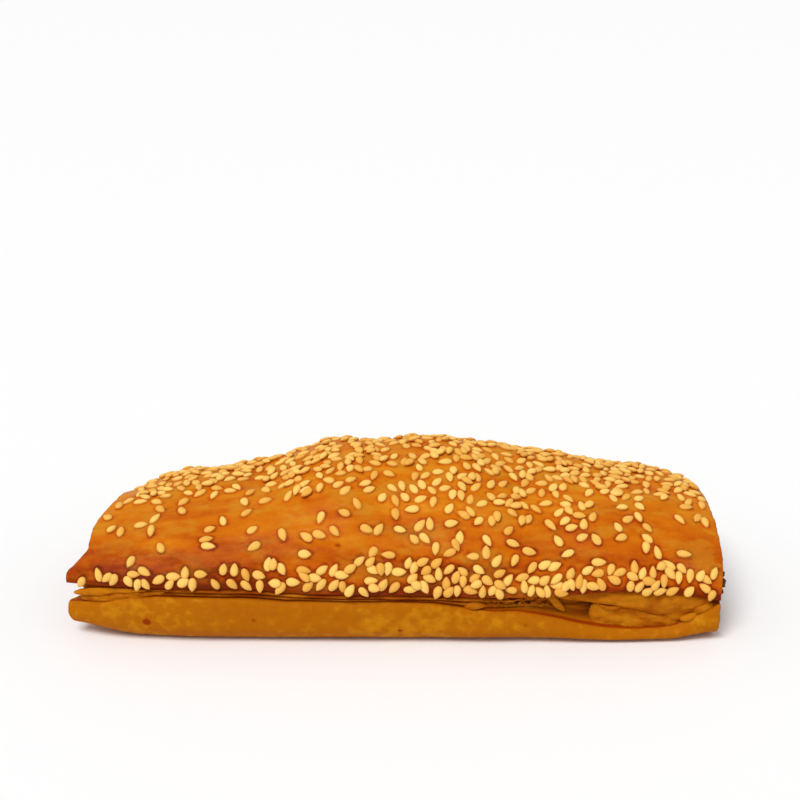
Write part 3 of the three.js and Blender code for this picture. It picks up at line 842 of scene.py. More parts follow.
@dataclass
class PastryWrap:
    """The pastry: skin, cut ends and the tunnel that holds the meat, as one closed sheet."""

    form: RollForm
    face_rows: int = 16
    tunnel_rows: int = 6
    gap: float = 0.4
    leaf_thickness: float = 0.62
    leaves_to_wave: float = 2.6
    face_wander: Relief = Relief((7, 7, 7), 1, 5.0, 0.7)
    face_crags: Relief = Relief((1.6, 1.6, 1.6), 2, 9.0, 0.3)
    face_bulge: float = 0.35
    face_wave: float = 0.34
    lengths: tuple[tuple[float, float, int], ...] = ((1, 0.62, 110), (0.62, 0.1, 118), (0.1, 0, 36))
    stretches: tuple[tuple[float, float, int], ...] = (
        (0, 3, 10), (3, 7, 30), (7, 13.5, 64), (13.5, 15, 26), (15, 22, 112), (22, 29, 54), (29, 33, 12))
    hollow: Patch = Patch(51, 13, 10.3, 3.4, 3.4)
    hollow_limit: float = -26.7
    honeycomb: Patch = Patch(30, 6.5, 10.3, 2.4, 1.0)
    # browner patches; the one at 31 mm, a third of the way up, is painted shade in the dent on the front
    # slope
    browner: tuple[Patch, ...] = (
        Patch(-50, 22, 0.12, 0.15, 0.34), Patch(-20, 20, 0.05, 0.12, 0.14), Patch(62, 12, 0.0, 0.06, 0.3),
        Patch(73, 3, 0.06, 0.1, 0.4), Patch(-68, 8, 0.3, 0.3, 0.16), Patch(-12.7, 0.5, 0.31, 0.012, 0.7),
        Patch(22, 10, 0.2, 0.07, 0.14), Patch(-40, 26, 0.3, 0.12, 0.1), Patch(31, 8, 0.35, 0.07, 0.24),
        Patch(-54, 12, 0.72, 0.1, 0.14))
    # paler patches; those at -53, -12 and 43 mm are painted highlights on bumps of the sheet
    paler: tuple[Patch, ...] = (
        Patch(-53, 5, 0.42, 0.05, 0.3), Patch(-12, 6, 0.36, 0.06, 0.25), Patch(15, 6, 0.72, 0.06, 0.22),
        Patch(43, 5, 0.86, 0.06, 0.28), Patch(-4, 6, 0.96, 0.05, 0.2), Patch(8, 12, 0.52, 0.07, 0.26),
        Patch(14, 12, 0.26, 0.06, 0.2), Patch(50, 9, 0.2, 0.07, 0.16), Patch(-30, 12, 0.5, 0.1, 0.12))
    lip_spots: tuple[Patch, ...] = (
        Patch(-56.4, 0.9, 5.3, 0.8, 1.3), Patch(-31.9, 0.8, 6.2, 0.5, 0.7), Patch(1.4, 0.6, 3.6, 0.5, 0.9),
        Patch(30, 0.6, 5.0, 0.5, 0.5))
    stain: Patch = Patch(59.8, 3.4, 0.06, 0.05, 1.1)
    glossy: Patch = Patch(66.5, 2.6, 0.27, 0.05, 1.0)
    puffs: Relief = Relief((15, 9, 7), 2, 0.0, 0.32)
    wrinkles: Relief = Relief((7.5, 2.4, 2.2), 2, 31.0, 0.19)
    layers: Relief = Relief((7, 1.6, 0.8), 2, 83.0, 0.2)
    lip_swells: Relief = Relief((13, 6, 3.5), 2, 17.0, 0.2)
    puffed: Stretch = Stretch(13.8, 14.6, 28, 30)
    lip: Stretch = Stretch(2, 4, 7, 7.8)
    layered: Stretch = Stretch(7.4, 8.4, 12.6, 13.4)
    crumbly: Stretch = Stretch(7.6, 8.6, 12.4, 13.2)
    cavity: Stretch = Stretch(7.5, 8.3, 12.5, 13.2)
    seam_inside: Stretch = Stretch(7.4, 8.0, 12.9, 13.5)
    open_seam: Stretch = Stretch(12, 30, 68, 73)
    hole_size: tuple[float, float, float] = (1.5, 1.5, 1.0)
    hole_depth: float = 1.5
    hole_wall: Range = (0.05, 0.4)
    faintest_hole: float = 0.06
    # how far round each seed the browner glaze and painted contact shade reach
    seed_ring_browning_and_shade_reach: Range = (0.9, 1.6)
    glaze_edge: Range = (13.6, 13.95)
    glaze_back: Range = (27.2, 28.8)
    pale_rim: Fade = Fade(0.75, -72, -58)
    browning: float = 0.16
    uneven: Relief = Relief((18, 7, 5), 2, 41.0, 1.0)
    uneven_sheet: float = 0.16
    uneven_lip: float = 0.1
    # browner low on the front and along the flap's edge: partly browning, partly painted shade where the
    # sheet turns under
    low_browning_and_shade: Fade = Fade(0.34, 0.25, 0.9)
    rim_browning_and_shade: Fade = Fade(0.34, 0.0, 0.12)
    # inside the seam: browning with painted shade in the shut crease and the open hollow; the holes get
    # painted shade by their depth
    shut_seam_browning_and_shade: float = 0.66
    shut_streaks: Relief = Relief((9, 2, 1.1), 2, 61.0, 0.25)
    open_seam_browning_and_shade: float = 0.62
    honeycomb_paler: float = 0.5
    hole_shade: float = 0.5
    left_paler: Fade = Fade(0.55, -68, -58)
    lip_browning: float = 0.25
    lip_edge_browning: float = 0.62
    lip_edge: Range = (7.1, 0.28)
    lip_end: float = 9
    sheet_start: float = 13.6
    seam_leaf: float = 0.5
    seam_leaves: Relief = Relief((6, 2.4, 1.0), 2, 71.0, 0.6)
    face_browning: float = 0.3
    face_patches: Relief = Relief((6, 6, 6), 2, 23.0, 0.25)
    steps: np.ndarray = field(init=False)
    shares: np.ndarray = field(init=False)
    surface: np.ndarray = field(init=False)
    outward: np.ndarray = field(init=False)

    def __post_init__(self) -> None:
        """Works out where the columns stand round the outline, and the rows along the roll."""
        parts = [np.linspace(low, high, count, endpoint=False) for low, high, count in self.stretches]
        self.steps = np.concatenate([*parts, [float(self.form.steps)]])
        parts = [np.linspace(high, low, count, endpoint=False) for high, low, count in self.lengths]
        self.shares = np.concatenate([*parts, [0.0]])

    def _normals(self, grid: np.ndarray) -> np.ndarray:
        """Outward directions of the skin's grid."""
        lengthwise = np.gradient(grid, axis=0)
        around = np.empty_like(grid)
        around[:, 1:-1] = grid[:, 2:] - grid[:, :-2]
        around[:, 0] = around[:, -1] = grid[:, 1] - grid[:, -2]
        normal = np.cross(around, lengthwise)
        length = np.linalg.norm(normal, axis=2, keepdims=True)
        return normal / np.maximum(length, 1e-9)

    def _steps_of(self, grid: np.ndarray) -> np.ndarray:
        """The outline's step at every point of a grid."""
        return self.steps[None, :] * np.ones((len(grid), 1))

    def _relief(self, grid: np.ndarray) -> np.ndarray:
        """How far puffs, wrinkles and layers stand out of the smooth skin."""
        step = self._steps_of(grid)
        return (self.puffed.cover(step) * (self.puffs.on(grid) + self.wrinkles.on(grid))
                + self.layered.cover(step) * self.layers.on(grid) - self._holes(grid, step)
                + self.lip.cover(step) * self.lip_swells.on(grid))

    def _holes(self, grid: np.ndarray, step: np.ndarray) -> np.ndarray:
        """How deep the holes are where the seam shows the crumb."""
        strength = self.honeycomb.at(grid[:, :, 0], step) * self.crumbly.cover(step)
        depth = np.zeros(strength.shape)
        for row, column in np.argwhere(strength > self.faintest_hole):
            near, next_near = noise.voronoi((grid[row, column] / np.array(self.hole_size)).tolist())[0][:2]
            depth[row, column] = (strength[row, column] * self.hole_depth
                                  * ramp(*self.hole_wall, next_near - near))
        return depth

    def lay(self) -> None:
        """Lays the skin, from the right end to the left, with its relief."""
        smooth = np.array([self.form.skin(share, self.steps) for share in self.shares])
        self.outward = self._normals(smooth)
        relief = self._relief(smooth)
        relief[:, -1] = relief[:, 0]
        skin = smooth + self.outward * relief[:, :, None]
        step = self._steps_of(skin)
        inner = self.cavity.cover(step)
        pushed = skin[:, :, 1] + inner * self.hollow.at(skin[:, :, 0], step)
        skin[:, :, 1] = np.where(inner > 0, np.minimum(pushed, self.hollow_limit), skin[:, :, 1])
        skin[:, :, 2] = np.maximum(skin[:, :, 2], 0)
        self.surface = skin

    def on_crust(self, share: float, up: float) -> tuple[np.ndarray, np.ndarray, np.ndarray]:
        """A point of the finished crust, its outward direction, and the direction along the roll."""
        row = float(np.interp(-share, -self.shares, np.arange(len(self.shares))))
        column = float(np.interp(self.form.step_of(up), self.steps, np.arange(len(self.steps))))
        i, j = min(int(row), len(self.shares) - 2), min(int(column), len(self.steps) - 2)
        a, b = row - i, column - j

        def mixed(grid: np.ndarray) -> np.ndarray:
            """The grid's value between its four nearest points."""
            return ((grid[i, j] * (1 - b) + grid[i, j + 1] * b) * (1 - a)
                    + (grid[i + 1, j] * (1 - b) + grid[i + 1, j + 1] * b) * a)

        outward = mixed(self.outward)
        outward /= np.linalg.norm(outward)
        lengthwise = np.array([1.0, 0.0, 0.0]) - outward * outward[0]
        return mixed(self.surface), outward, lengthwise / np.linalg.norm(lengthwise)

    def _face(self, share: float, rim: np.ndarray, way: float) -> tuple[np.ndarray, np.ndarray]:
        """The leaves that show on one cut end.

        Args:
            share: 0 for the left end, 1 for the right.
            rim: the skin's last row there.
            way: -1 where the end faces left, 1 where it faces right.

        Returns:
            The rows between the skin and the tunnel, and how dark each point's leaf is.
        """
        tunnel = self.form.meat(share, self.steps, self.gap)
        depth = np.linspace(0, 1, self.face_rows + 2)[1:-1, None]
        rows = rim[None] * (1 - depth[:, :, None]) + tunnel[None] * depth[:, :, None]
        thickness = np.linalg.norm(rim - tunnel, axis=1)[None, :]
        waves = depth * thickness / self.leaf_thickness / self.leaves_to_wave
        wave = np.sin(2 * math.pi * (waves + self.face_wander.on(rows, share)))
        edge = np.sin(math.pi * np.clip(depth, 0, 1)) ** 0.5
        rows[:, :, 0] += way * edge * (self.face_bulge + self.face_wave * wave + self.face_crags.on(rows))
        return rows, 0.5 + 0.5 * wave

    def build(self, beads: np.ndarray) -> bpy.types.Object:
        """Builds the pastry's mesh and the numbers it carries.

        Args:
            beads: places in the seeds, round which the glaze is browner and painted contact shade is laid.

        Returns:
            The pastry.
        """
        skin = self.surface
        left, left_leaf = self._face(0, skin[-1], -1)
        right, right_leaf = self._face(1, skin[0], 1)
        tunnel = np.array([self.form.meat(share, self.steps, self.gap)
                           for share in np.linspace(0, 1, self.tunnel_rows)])
        grid = np.concatenate([skin, left, tunnel, right[::-1], skin[:1]])
        blank = np.zeros((self.tunnel_rows, grid.shape[1]))
        leaf = np.concatenate([np.zeros(skin.shape[:2]), left_leaf, blank, right_leaf[::-1], blank[:1]])
        cut = np.concatenate([np.zeros(len(skin)), np.ones(len(grid) - len(skin) - 1), [0]])
        cut = cut[:, None] * np.ones((1, grid.shape[1]))
        piece = grid_mesh("pastry_wrap", grid)
        for name, values in self._measures(grid, cut, leaf).items():
            put_measure(piece, name, values)
        # browner glaze and painted contact shade round each seed
        put_measure(piece, "seed_ring_browning_and_shade", self._seed_ring_browning_and_shade(grid, beads))
        close_up(piece)
        return piece

    def _seed_ring_browning_and_shade(self, grid: np.ndarray, beads: np.ndarray) -> np.ndarray:
        """How near a seed each point lies, from 0 to 1, which lays browner glaze and painted contact shade
        round the seeds.
        """
        tree = kdtree.KDTree(len(beads))
        for number, bead in enumerate(beads):
            tree.insert(bead, number)
        tree.balance()
        flat = grid.reshape(-1, 3)
        apart = np.fromiter((tree.find(point)[2] for point in flat.tolist()), float, len(flat))
        return (1 - ramp(*self.seed_ring_browning_and_shade_reach, apart)).reshape(grid.shape[:2])

    def _sheet_browning_and_shade(self, place: np.ndarray, up: np.ndarray, uneven: np.ndarray) -> np.ndarray:
        """How brown the glazed sheet is: browner low down and at the flap's edge, partly as painted shade
        where the sheet turns under, with the browner and paler patches, of which one browner patch is painted
        shade in a dent and three paler ones are painted highlights on bumps.
        """
        return (self.browning + self.uneven_sheet * uneven + self.low_browning_and_shade.at(up)
                + self.rim_browning_and_shade.at(up) + sum(patch.at(place, up) for patch in self.browner)
                - sum(patch.at(place, up) for patch in self.paler))

    def _seam_browning_and_shade(self, grid: np.ndarray, step: np.ndarray) -> np.ndarray:
        """How brown the inside of the seam is: browner where it is shut and in the holes, partly as painted
        shade in the shut crease, the open hollow and the pits.
        """
        place = grid[:, :, 0]
        gaping = self.open_seam.cover(place)
        shut = self.shut_seam_browning_and_shade + self.shut_streaks.on(grid)
        gape = self.open_seam_browning_and_shade - self.honeycomb_paler * self.honeycomb.at(place, step)
        return (shut * (1 - gaping) + gape * gaping + self.hole_shade * self._holes(grid, step)
                - self.left_paler.at(place))

    def _lip_browning(self, grid: np.ndarray, step: np.ndarray, uneven: np.ndarray) -> np.ndarray:
        """How brown the lower lip is: browner along its upper edge and in a few spots."""
        edge = (self.lip_edge_browning * bell(step, *self.lip_edge)
                + sum(spot.at(grid[:, :, 0], grid[:, :, 2]) for spot in self.lip_spots))
        return self.lip_browning + self.uneven_lip * uneven + edge * (step < self.lip_end)

    def _measures(self, grid: np.ndarray, cut: np.ndarray, leaf: np.ndarray) -> dict[str, np.ndarray]:
        """The numbers that drive the crust's colours.

        Args:
            grid: the pastry's points.
            cut: 1 where a point lies on a cut end.
            leaf: how dark the leaf is there.

        Returns:
            The numbers at every point, by the name that the crust's finish reads.
        """
        form, place, step = self.form, grid[:, :, 0], self._steps_of(grid)
        up = np.where(step < form.crown_step, (step - form.flap_start) / form.flap_steps,
                      1 + (step - form.crown_step) / form.back_steps)
        setback = self.pale_rim.at(place)
        glaze = (ramp(self.glaze_edge[0] + setback, self.glaze_edge[1] + setback, step)
                 * (1 - ramp(*self.glaze_back, step)))
        uneven = self.uneven.on(grid)
        in_seam = self.seam_inside.cover(step)
        # below and brown also carry painted shade inside the seam and low on the flap, and painted highlights
        # in three paler patches
        below = (self._lip_browning(grid, step, uneven) * (1 - in_seam)
                 + self._seam_browning_and_shade(grid, step) * in_seam)
        brown = np.where(step < self.sheet_start, below, self._sheet_browning_and_shade(place, up, uneven))
        brown = np.where(cut > 0.5, self.face_browning + self.face_patches.on(grid), brown)
        leafy = np.where(cut > 0.5, leaf, self.seam_leaf + self.seam_leaves.on(grid))
        return {"glaze": glaze * (1 - cut), "browning": brown, "cut": np.maximum(cut, in_seam),
                "leaf": np.clip(leafy, 0, 1), "juice": self.stain.at(place, up) * (1 - cut),
                "gloss": self.glossy.at(place, up)}


@dataclass(frozen=True)
class DoughFold:
    """One soft fold of dough: (x, y, z, half height, half depth) along its spine, and its tone and painted
    shade.
    """

    spine: tuple[tuple[float, ...], ...]
    tone: float
    shade: float = 0.0
    lumps: float = 0.25
    rings: int = 90
    sides: int = 40
    end_sharpness: float = 6
    squareness: float = 0.85
    smallest_end: float = 1e-5
    lump_size: tuple[float, float, float] = (4.2, 3, 1.7)

    def points(self, start: float) -> np.ndarray:
        """The rings of points round the fold's spine."""
        rows = len(self.spine) - 1
        stations = np.array([
            [along(tuple((k, row[axis]) for k, row in enumerate(self.spine)), rows * i / self.rings)
             for axis in range(5)] for i in range(self.rings + 1)])
        share = np.linspace(-1, 1, self.rings + 1)
        taper = np.maximum(1 - np.abs(share) ** self.end_sharpness, self.smallest_end) ** 0.5
        ahead = np.gradient(stations[:, :3], axis=0)
        across = np.cross(ahead, np.array([0.0, -1.0, 0.0]))
        across /= np.linalg.norm(across, axis=1, keepdims=True)
        angle = np.linspace(0, 2 * math.pi, self.sides + 1)
        high = np.sign(np.sin(angle)) * np.abs(np.sin(angle)) ** self.squareness
        grid = (stations[:, None, :3]
                + across[:, None] * (stations[:, 3] * taper)[:, None, None] * high[None, :, None])
        grid[:, :, 1] -= (stations[:, 4] * taper)[:, None] * np.cos(angle)[None, :]
        lumps = grain(grid, self.lump_size, 3, start) * self.lumps * taper[:, None]
        lumps[:, -1] = lumps[:, 0]
        grid[:, :, 1] -= lumps * np.maximum(np.cos(angle), 0)[None, :]
        return grid


@dataclass
class PastryLeaves:
    """The inner leaves that show where the seam gapes, and a small fold where it is nearly closed."""

    folds: tuple[DoughFold, ...] = (
        DoughFold(((36.5, -29.6, 10.9, 1.6, 0.7), (44, -29.8, 10.9, 1.7, 1.0), (50, -30.2, 10.6, 2.0, 1.3),
                   (57, -30.2, 9.9, 2.6, 1.4), (61, -30.2, 9.2, 2.9, 1.5), (66, -30.0, 9.2, 2.4, 1.3),
                   (70, -29.6, 9.4, 1.5, 1.0), (73, -29.2, 9.2, 0.8, 0.7)), 0.4, 0.08, lumps=0.55),
        DoughFold(((44.6, -29.3, 5.8, 3.3, 1.0), (47, -29.2, 5.7, 3.6, 1.7), (51, -29.2, 5.4, 3.5, 1.9),
                   (57, -29.0, 4.8, 3.0, 1.9), (63, -29.0, 4.2, 2.1, 1.6), (67.5, -28.9, 4.4, 1.2, 1.0)),
                  0.3, 0.1, lumps=0.9),
        DoughFold(((35.4, -29.8, 11.0, 0.7, 0.4), (36.6, -30.0, 9.6, 0.9, 0.5), (37.8, -29.9, 8.1, 0.8, 0.5),
                   (39.2, -29.4, 6.6, 0.5, 0.4)), 0.0, lumps=0.4),
        DoughFold(((47.0, -30.5, 8.7, 0.3, 0.4), (49.0, -31.0, 8.3, 0.5, 0.5), (51.6, -31.0, 8.5, 0.4, 0.4)),
                  0.0, lumps=0.2),
        DoughFold(((60, -29.4, 5.9, 1.0, 0.6), (64, -29.8, 6.0, 1.6, 0.9), (70, -29.2, 6.9, 1.2, 0.7)),
                  0.35, 0.3, lumps=0.25),
        DoughFold(((65.4, -30.4, 5.1, 0.6, 0.6), (67.4, -30.8, 5.7, 0.9, 0.7), (69.6, -30.2, 6.5, 0.5, 0.5)),
                  0.0, lumps=0.1),
        DoughFold(((68.4, -30.0, 7.0, 0.9, 0.7), (70.6, -30.2, 7.8, 1.1, 0.8), (73.2, -29.6, 8.4, 0.6, 0.6)),
                  0.2, lumps=0.15),
        DoughFold(((15.8, -31.3, 9.0, 0.4, 0.5), (18.2, -31.9, 9.3, 0.9, 0.6), (20.9, -31.4, 9.1, 0.4, 0.5)),
                  0.3, 0.2, lumps=0.1),
        DoughFold(((-73.8, -27.4, 10.3, 0.5, 0.4), (-71, -28.4, 11.0, 0.9, 0.6), (-67, -29.3, 11.6, 0.9, 0.7),
                   (-62, -30.0, 12.2, 0.6, 0.5), (-56, -30.9, 12.6, 0.3, 0.3)), 0.0, lumps=0.6),
        DoughFold(((-72, -28.0, 9.2, 0.6, 0.5), (-67, -29.0, 9.9, 1.0, 0.7), (-60, -30.2, 11.1, 0.8, 0.6),
                   (-52, -31.0, 12.2, 0.3, 0.3)), 0.4, 0.2, lumps=0.6))
    fold_shift: float = 7.0
    tones: Relief = Relief((6, 6, 3), 2, 50.0, 0.6)
    shades: Relief = Relief((5, 5, 2.4), 2, 90.0, 0.7)

    def build(self) -> bpy.types.Object:
        """Builds the leaves as one mesh of closed folds."""
        made = []
        for number, fold in enumerate(self.folds):
            grid = fold.points(self.fold_shift * number)
            piece = grid_mesh(f"fold_{number}", grid)
            put_measure(piece, "tone", np.clip(fold.tone + self.tones.on(grid, number), 0, 1))
            put_measure(piece, "shade", np.clip(fold.shade + self.shades.on(grid, number), 0, 1))
            close_up(piece, FOLD_POINT)
            made.append(piece)
        return join("pastry_leaves", made)


class SeedKind(Enum):
    """The shapes that sesame seeds come in: how far the widest place lies from the blunt end, and the tip."""

    PLUMP = (0.42, 0.16)
    SLIM = (0.38, 0.10)
    ROUND = (0.47, 0.26)


@dataclass(frozen=True)
class Drift:
    """A drift of seeds: from and to along the roll and up the sheet, and how many seeds it gets."""

    places: tuple[float, float]
    heights: tuple[float, float]
    count: int


@dataclass
class Seed:
    """One seed: where it lies, which way it points, and its size."""

    point: np.ndarray
    outward: np.ndarray
    axis: np.ndarray
    length: float
    width: float
    share: float
    up: float
    lean: float = 0.0
    tip_in: float = 0.85

    def beads(self) -> np.ndarray:
        """Three places along the seed."""
        reach = self.axis * (self.length / 2 - self.tip_in)
        return np.array([self.point - reach, self.point, self.point + reach])


@dataclass
class SesameSeeds:
    """The sesame seeds: the large ones of the CAD model first, then the rest, some lying on others."""

    form: RollForm
    wrap: PastryWrap
    large: int = 195
    lengths: tuple[float, float] = (3.2, 3.8)
    widths: tuple[float, float] = (2.0, 2.35)
    thickness: float = 1.2
    proud: float = 0.08
    spacing: float = 3.3
    clear: float = 1.75
    heaping: float = 0.3
    closest: float = 1.0
    heap_lift: float = 0.5
    tries: int = 14
    clustered: float = 0.4
    grown: float = 0.96
    draws: int = 40000
    state: int = 20641
    factor: int = 16807
    modulus: int = 2147483647
    large_shares: Range = (0.012, 0.976)
    large_up: float = 1.9
    seam_rise: Range = (0.01, 0.05)
    seam_fall: Range = (0.2, 0.28)
    left_least: float = 0.35
    left_rise: Range = (0.05, 0.13)
    crown_start: float = 0.74
    crown_dip: tuple[float, float, float] = (0.16, 0.5, 0.22)
    crown_rise: Range = (0.12, 0.06)
    crown_fall: Range = (1.3, 1.85)
    between: float = 0.2
    between_bells: tuple[tuple[float, float, float], ...] = ((0.35, 0.52, 0.16), (0.25, 0.9, 0.1))
    between_fall: Range = (1.4, 1.8)
    patchiness: float = 0.25
    patch_waves: Stations = ((29, 4), (17, -9))
    small_lengths: Range = (2.95, 3.7)
    small_widths: Range = (1.9, 2.35)
    cluster_spread: Range = (0.014, 0.045)
    share_limits: Range = (0.006, 0.994)
    drift_below: float = 0.02
    drift_above: float = 0.03
    look_round: float = 5
    heap_lean: float = 0.25
    scatter_seed: int = 7
    shape_seed: int = 3
    sides: int = 8
    rings: int = 7
    flatness: float = 0.7
    tip_power: float = 0.6
    rim_shade_reach: float = 0.3
    thinnest: float = 1e-4
    lean_spread: float = 0.06
    roll_spread: float = 0.1
    tone_middle: float = 0.45
    tone_spread: float = 0.36
    drifts: tuple[Drift, ...] = (
        Drift((-75, -62), (0.06, 0.16), 2), Drift((-60, -28), (0.045, 0.19), 20),
        Drift((-28, 38), (0.035, 0.19), 78), Drift((36, 62), (0.07, 0.215), 34),
        Drift((60, 74), (0.03, 0.26), 18), Drift((-8, 50), (0.19, 0.28), 9),
        Drift((-70, -36), (0.25, 0.68), 7), Drift((-40, -5), (0.25, 0.6), 7),
        Drift((-5, 30), (0.28, 0.58), 22), Drift((30, 74), (0.3, 0.62), 15),
        Drift((-70, -48), (0.85, 1.4), 54), Drift((-48, -30), (0.76, 1.4), 54),
        Drift((-32, -6), (0.64, 1.4), 85),
        Drift((-8, 4), (0.56, 0.88), 16), Drift((2, 40), (0.58, 1.4), 165),
        Drift((-8, 4), (0.99, 1.4), 14), Drift((38, 74), (0.62, 0.82), 14),
        Drift((38, 74), (0.8, 1.4), 104), Drift((-70, 72), (1.4, 1.75), 50))
    placed: list[Seed] = field(default_factory=list)

    def _draw(self) -> float:
        """The next random number from 0 to 1."""
        self.state = self.state * self.factor % self.modulus
        return self.state / self.modulus

    def _large_cover(self, share: float, up: float) -> float:
        """How thickly the large seeds lie at one place, from 0 to 1."""
        seam_band = (ramp(*self.seam_rise, up) * (1 - ramp(*self.seam_fall, up))
                     * (self.left_least + (1 - self.left_least) * ramp(*self.left_rise, share)))
        dip, dip_middle, dip_width = self.crown_dip
        start = self.crown_start - dip * bell(share, dip_middle, dip_width)
        before, after = self.crown_rise
        crown_band = ramp(start - before, start + after, up) * (1 - ramp(*self.crown_fall, up))
        between = self.between + sum(size * bell(share, middle, width)
                                     for size, middle, width in self.between_bells)
        fade = ramp(*self.seam_rise, up) * (1 - ramp(*self.between_fall, up))
        waves = math.prod(math.sin(lengthwise * share + upward * up)
                          for lengthwise, upward in self.patch_waves)
        patches = 1 - self.patchiness + self.patchiness * waves
        return max(seam_band, crown_band, between * fade) * patches

    def _scatter_large(self) -> None:
        """Places the large seeds by the same draws as the CAD model."""
        points = np.empty((0, 3))
        first, span = self.large_shares
        for _ in range(self.draws):
            if len(self.placed) >= self.large:
                return
            share, up, chance = first + span * self._draw(), self.large_up * self._draw(), self._draw()
            if chance > self._large_cover(share, up):
                continue
            point = PLAIN_FORM.skin(share, np.array([PLAIN_FORM.step_of(up)]))[0]
            if len(points) and np.linalg.norm(points - point, axis=1).min() < self.spacing:
                continue
            turn = 2 * math.pi * self._draw()
            length = self.lengths[0] + (self.lengths[1] - self.lengths[0]) * self._draw()
            width = self.widths[0] + (self.widths[1] - self.widths[0]) * self._draw()
            points = np.vstack([points, point])
            self.placed.append(self._laid(share, up, turn, length, width))

    def _laid(self, share: float, up: float, turn: float, length: float, width: float) -> Seed:
        """One seed, laid on the relief of the crust."""
        point, outward, lengthwise = self.wrap.on_crust(share, up)
        across = np.cross(outward, lengthwise)
        across /= np.linalg.norm(across)
        ahead = np.cross(across, outward)
        axis = ahead * math.cos(turn) + across * math.sin(turn)
        return Seed(point + outward * self.proud, outward, axis,
                    length * self.grown, width * self.grown, share, up)

    def _fill(self, drift: Drift, random: np.random.Generator, beads: np.ndarray) -> np.ndarray:
        """Fills one drift: seeds side by side in loose clusters, and where they crowd, some on others.

        Args:
            drift: where the seeds go.
            random: the source of chance.
            beads: the places along the seeds that already lie there.

        Returns:
            The beads with the new seeds' added.
        """
        made: list[Seed] = []
        edges = [self.form.share(place) for place in drift.places]
        (first, last), (share_spread, up_spread) = self.share_limits, self.cluster_spread
        lowest, highest = max(0, drift.heights[0] - self.drift_below), drift.heights[1] + self.drift_above
        for _ in range(self.tries * drift.count):
            if len(made) >= drift.count:
                break
            share, up = random.uniform(*edges), random.uniform(*drift.heights)
            if made and random.random() < self.clustered:
                other = made[random.integers(len(made))]
                share = other.share + random.normal(0, share_spread)
                up = other.up + random.normal(0, up_spread)
            if not (first < share < last and lowest < up < highest):
                continue
            length, width = random.uniform(*self.small_lengths), random.uniform(*self.small_widths)
            seed = self._laid(share, up, random.uniform(0, 2 * math.pi), length, width)
            near = beads[np.abs(beads[:, 1, 0] - seed.point[0]) < self.look_round].reshape(-1, 3)
            apart = math.inf
            if len(near):
                apart = np.linalg.norm(near[:, None] - seed.beads()[None], axis=2).min()
            if apart < self.closest or (apart < self.clear and random.random() > self.heaping):
                continue
            if apart < self.clear:
                lift = self.heap_lift * (self.clear - apart) / (self.clear - self.closest)
                seed.point = seed.point + seed.outward * lift
                seed.lean = random.uniform(-self.heap_lean, self.heap_lean) * lift
            made.append(seed)
            beads = np.vstack([beads, seed.beads()[None]])
        self.placed.extend(made)
        return beads

    def scatter(self) -> None:
        """Places all the seeds."""
        self._scatter_large()
        random = np.random.default_rng(self.scatter_seed)
        beads = np.array([seed.beads() for seed in self.placed])
        for drift in self.drifts:
            beads = self._fill(drift, random, beads)
        log.info("%d seeds", len(self.placed))

    def beads(self) -> np.ndarray:
        """Three places along every seed."""
        return np.array([seed.beads() for seed in self.placed]).reshape(-1, 3)

    def _model(self, kind: SeedKind) -> tuple[np.ndarray, list[tuple[int, ...]], np.ndarray]:
        """One seed of the given kind, a unit long, lying along X with its tip ahead."""
        widest, tip = kind.value
        bpy.ops.object.select_all(action="DESELECT")
        bpy.ops.mesh.primitive_uv_sphere_add(segments=self.sides, ring_count=self.rings, radius=0.5,
                                             rotation=(0, math.pi / 2, 0))
        seed = bpy.context.object
        bpy.ops.object.transform_apply(location=False, rotation=True, scale=False)
        points = np.array([vertex.co[:] for vertex in seed.data.vertices])
        ahead = points[:, 0] + 0.5
        round_part = np.sqrt(np.maximum(0, 1 - (2 * ahead - 1) ** 2))
        blunt_end = np.sqrt(np.maximum(0, 1 - ((widest - ahead) / widest) ** 2))
        to_tip = np.clip((ahead - widest) / (1 - widest), 0, 1) * math.pi / 2
        drop = np.where(ahead < widest, blunt_end, np.cos(to_tip) ** (self.tip_power + tip))
        scale = np.where(round_part > self.thinnest, drop / np.maximum(round_part, self.thinnest), 0)
        points[:, 1] *= scale
        points[:, 2] *= scale ** self.flatness
        faces = sorted(tuple(face.vertices) for face in seed.data.polygons)
        bpy.data.objects.remove(seed)
        # the last array weights the painted shade at the seed's edge
        return points, faces, 1 - ramp(0.0, self.rim_shade_reach, np.abs(points[:, 2]))

    def build(self) -> bpy.types.Object:
        """Builds all the seeds as one mesh."""
        random = np.random.default_rng(self.shape_seed)
        models = [self._model(kind) for kind in SeedKind]
        points, faces, tones, rim_shades = [], [], [], []
        start = 0
        for seed in self.placed:
            shape, shape_faces, rim = models[random.integers(len(models))]
            lean = seed.lean + random.normal(0, self.lean_spread)
            axis = seed.axis * math.cos(lean) + seed.outward * math.sin(lean)
            side = np.cross(seed.outward, axis)
            side /= np.linalg.norm(side)
            roll = random.normal(0, self.roll_spread)
            side = side * math.cos(roll) + np.cross(axis, side) * math.sin(roll)
            above = np.cross(axis, side)
            local = shape * np.array([seed.length, seed.width, self.thickness])
            points.append(seed.point + local[:, :1] * axis + local[:, 1:2] * side + local[:, 2:3] * above)
            faces.extend(tuple(i + start for i in face) for face in shape_faces)
            start += len(shape)
            tone = np.clip(random.normal(self.tone_middle, self.tone_spread), 0, 1)
            tones.append(np.full(len(shape), tone))
            rim_shades.append(rim)
        mesh = bpy.data.meshes.new("sesame_seeds")
        mesh.from_pydata((np.concatenate(points) * MM).tolist(), [], faces)
        piece = bpy.data.objects.new("sesame_seeds", mesh)
        bpy.context.collection.objects.link(piece)
        put_measure(piece, "tone", np.concatenate(tones))
        # rim: where each seed's edge gets its painted shade
        put_measure(piece, "rim", np.concatenate(rim_shades))
        mesh.polygons.foreach_set("use_smooth", [True] * len(mesh.polygons))
        return piece


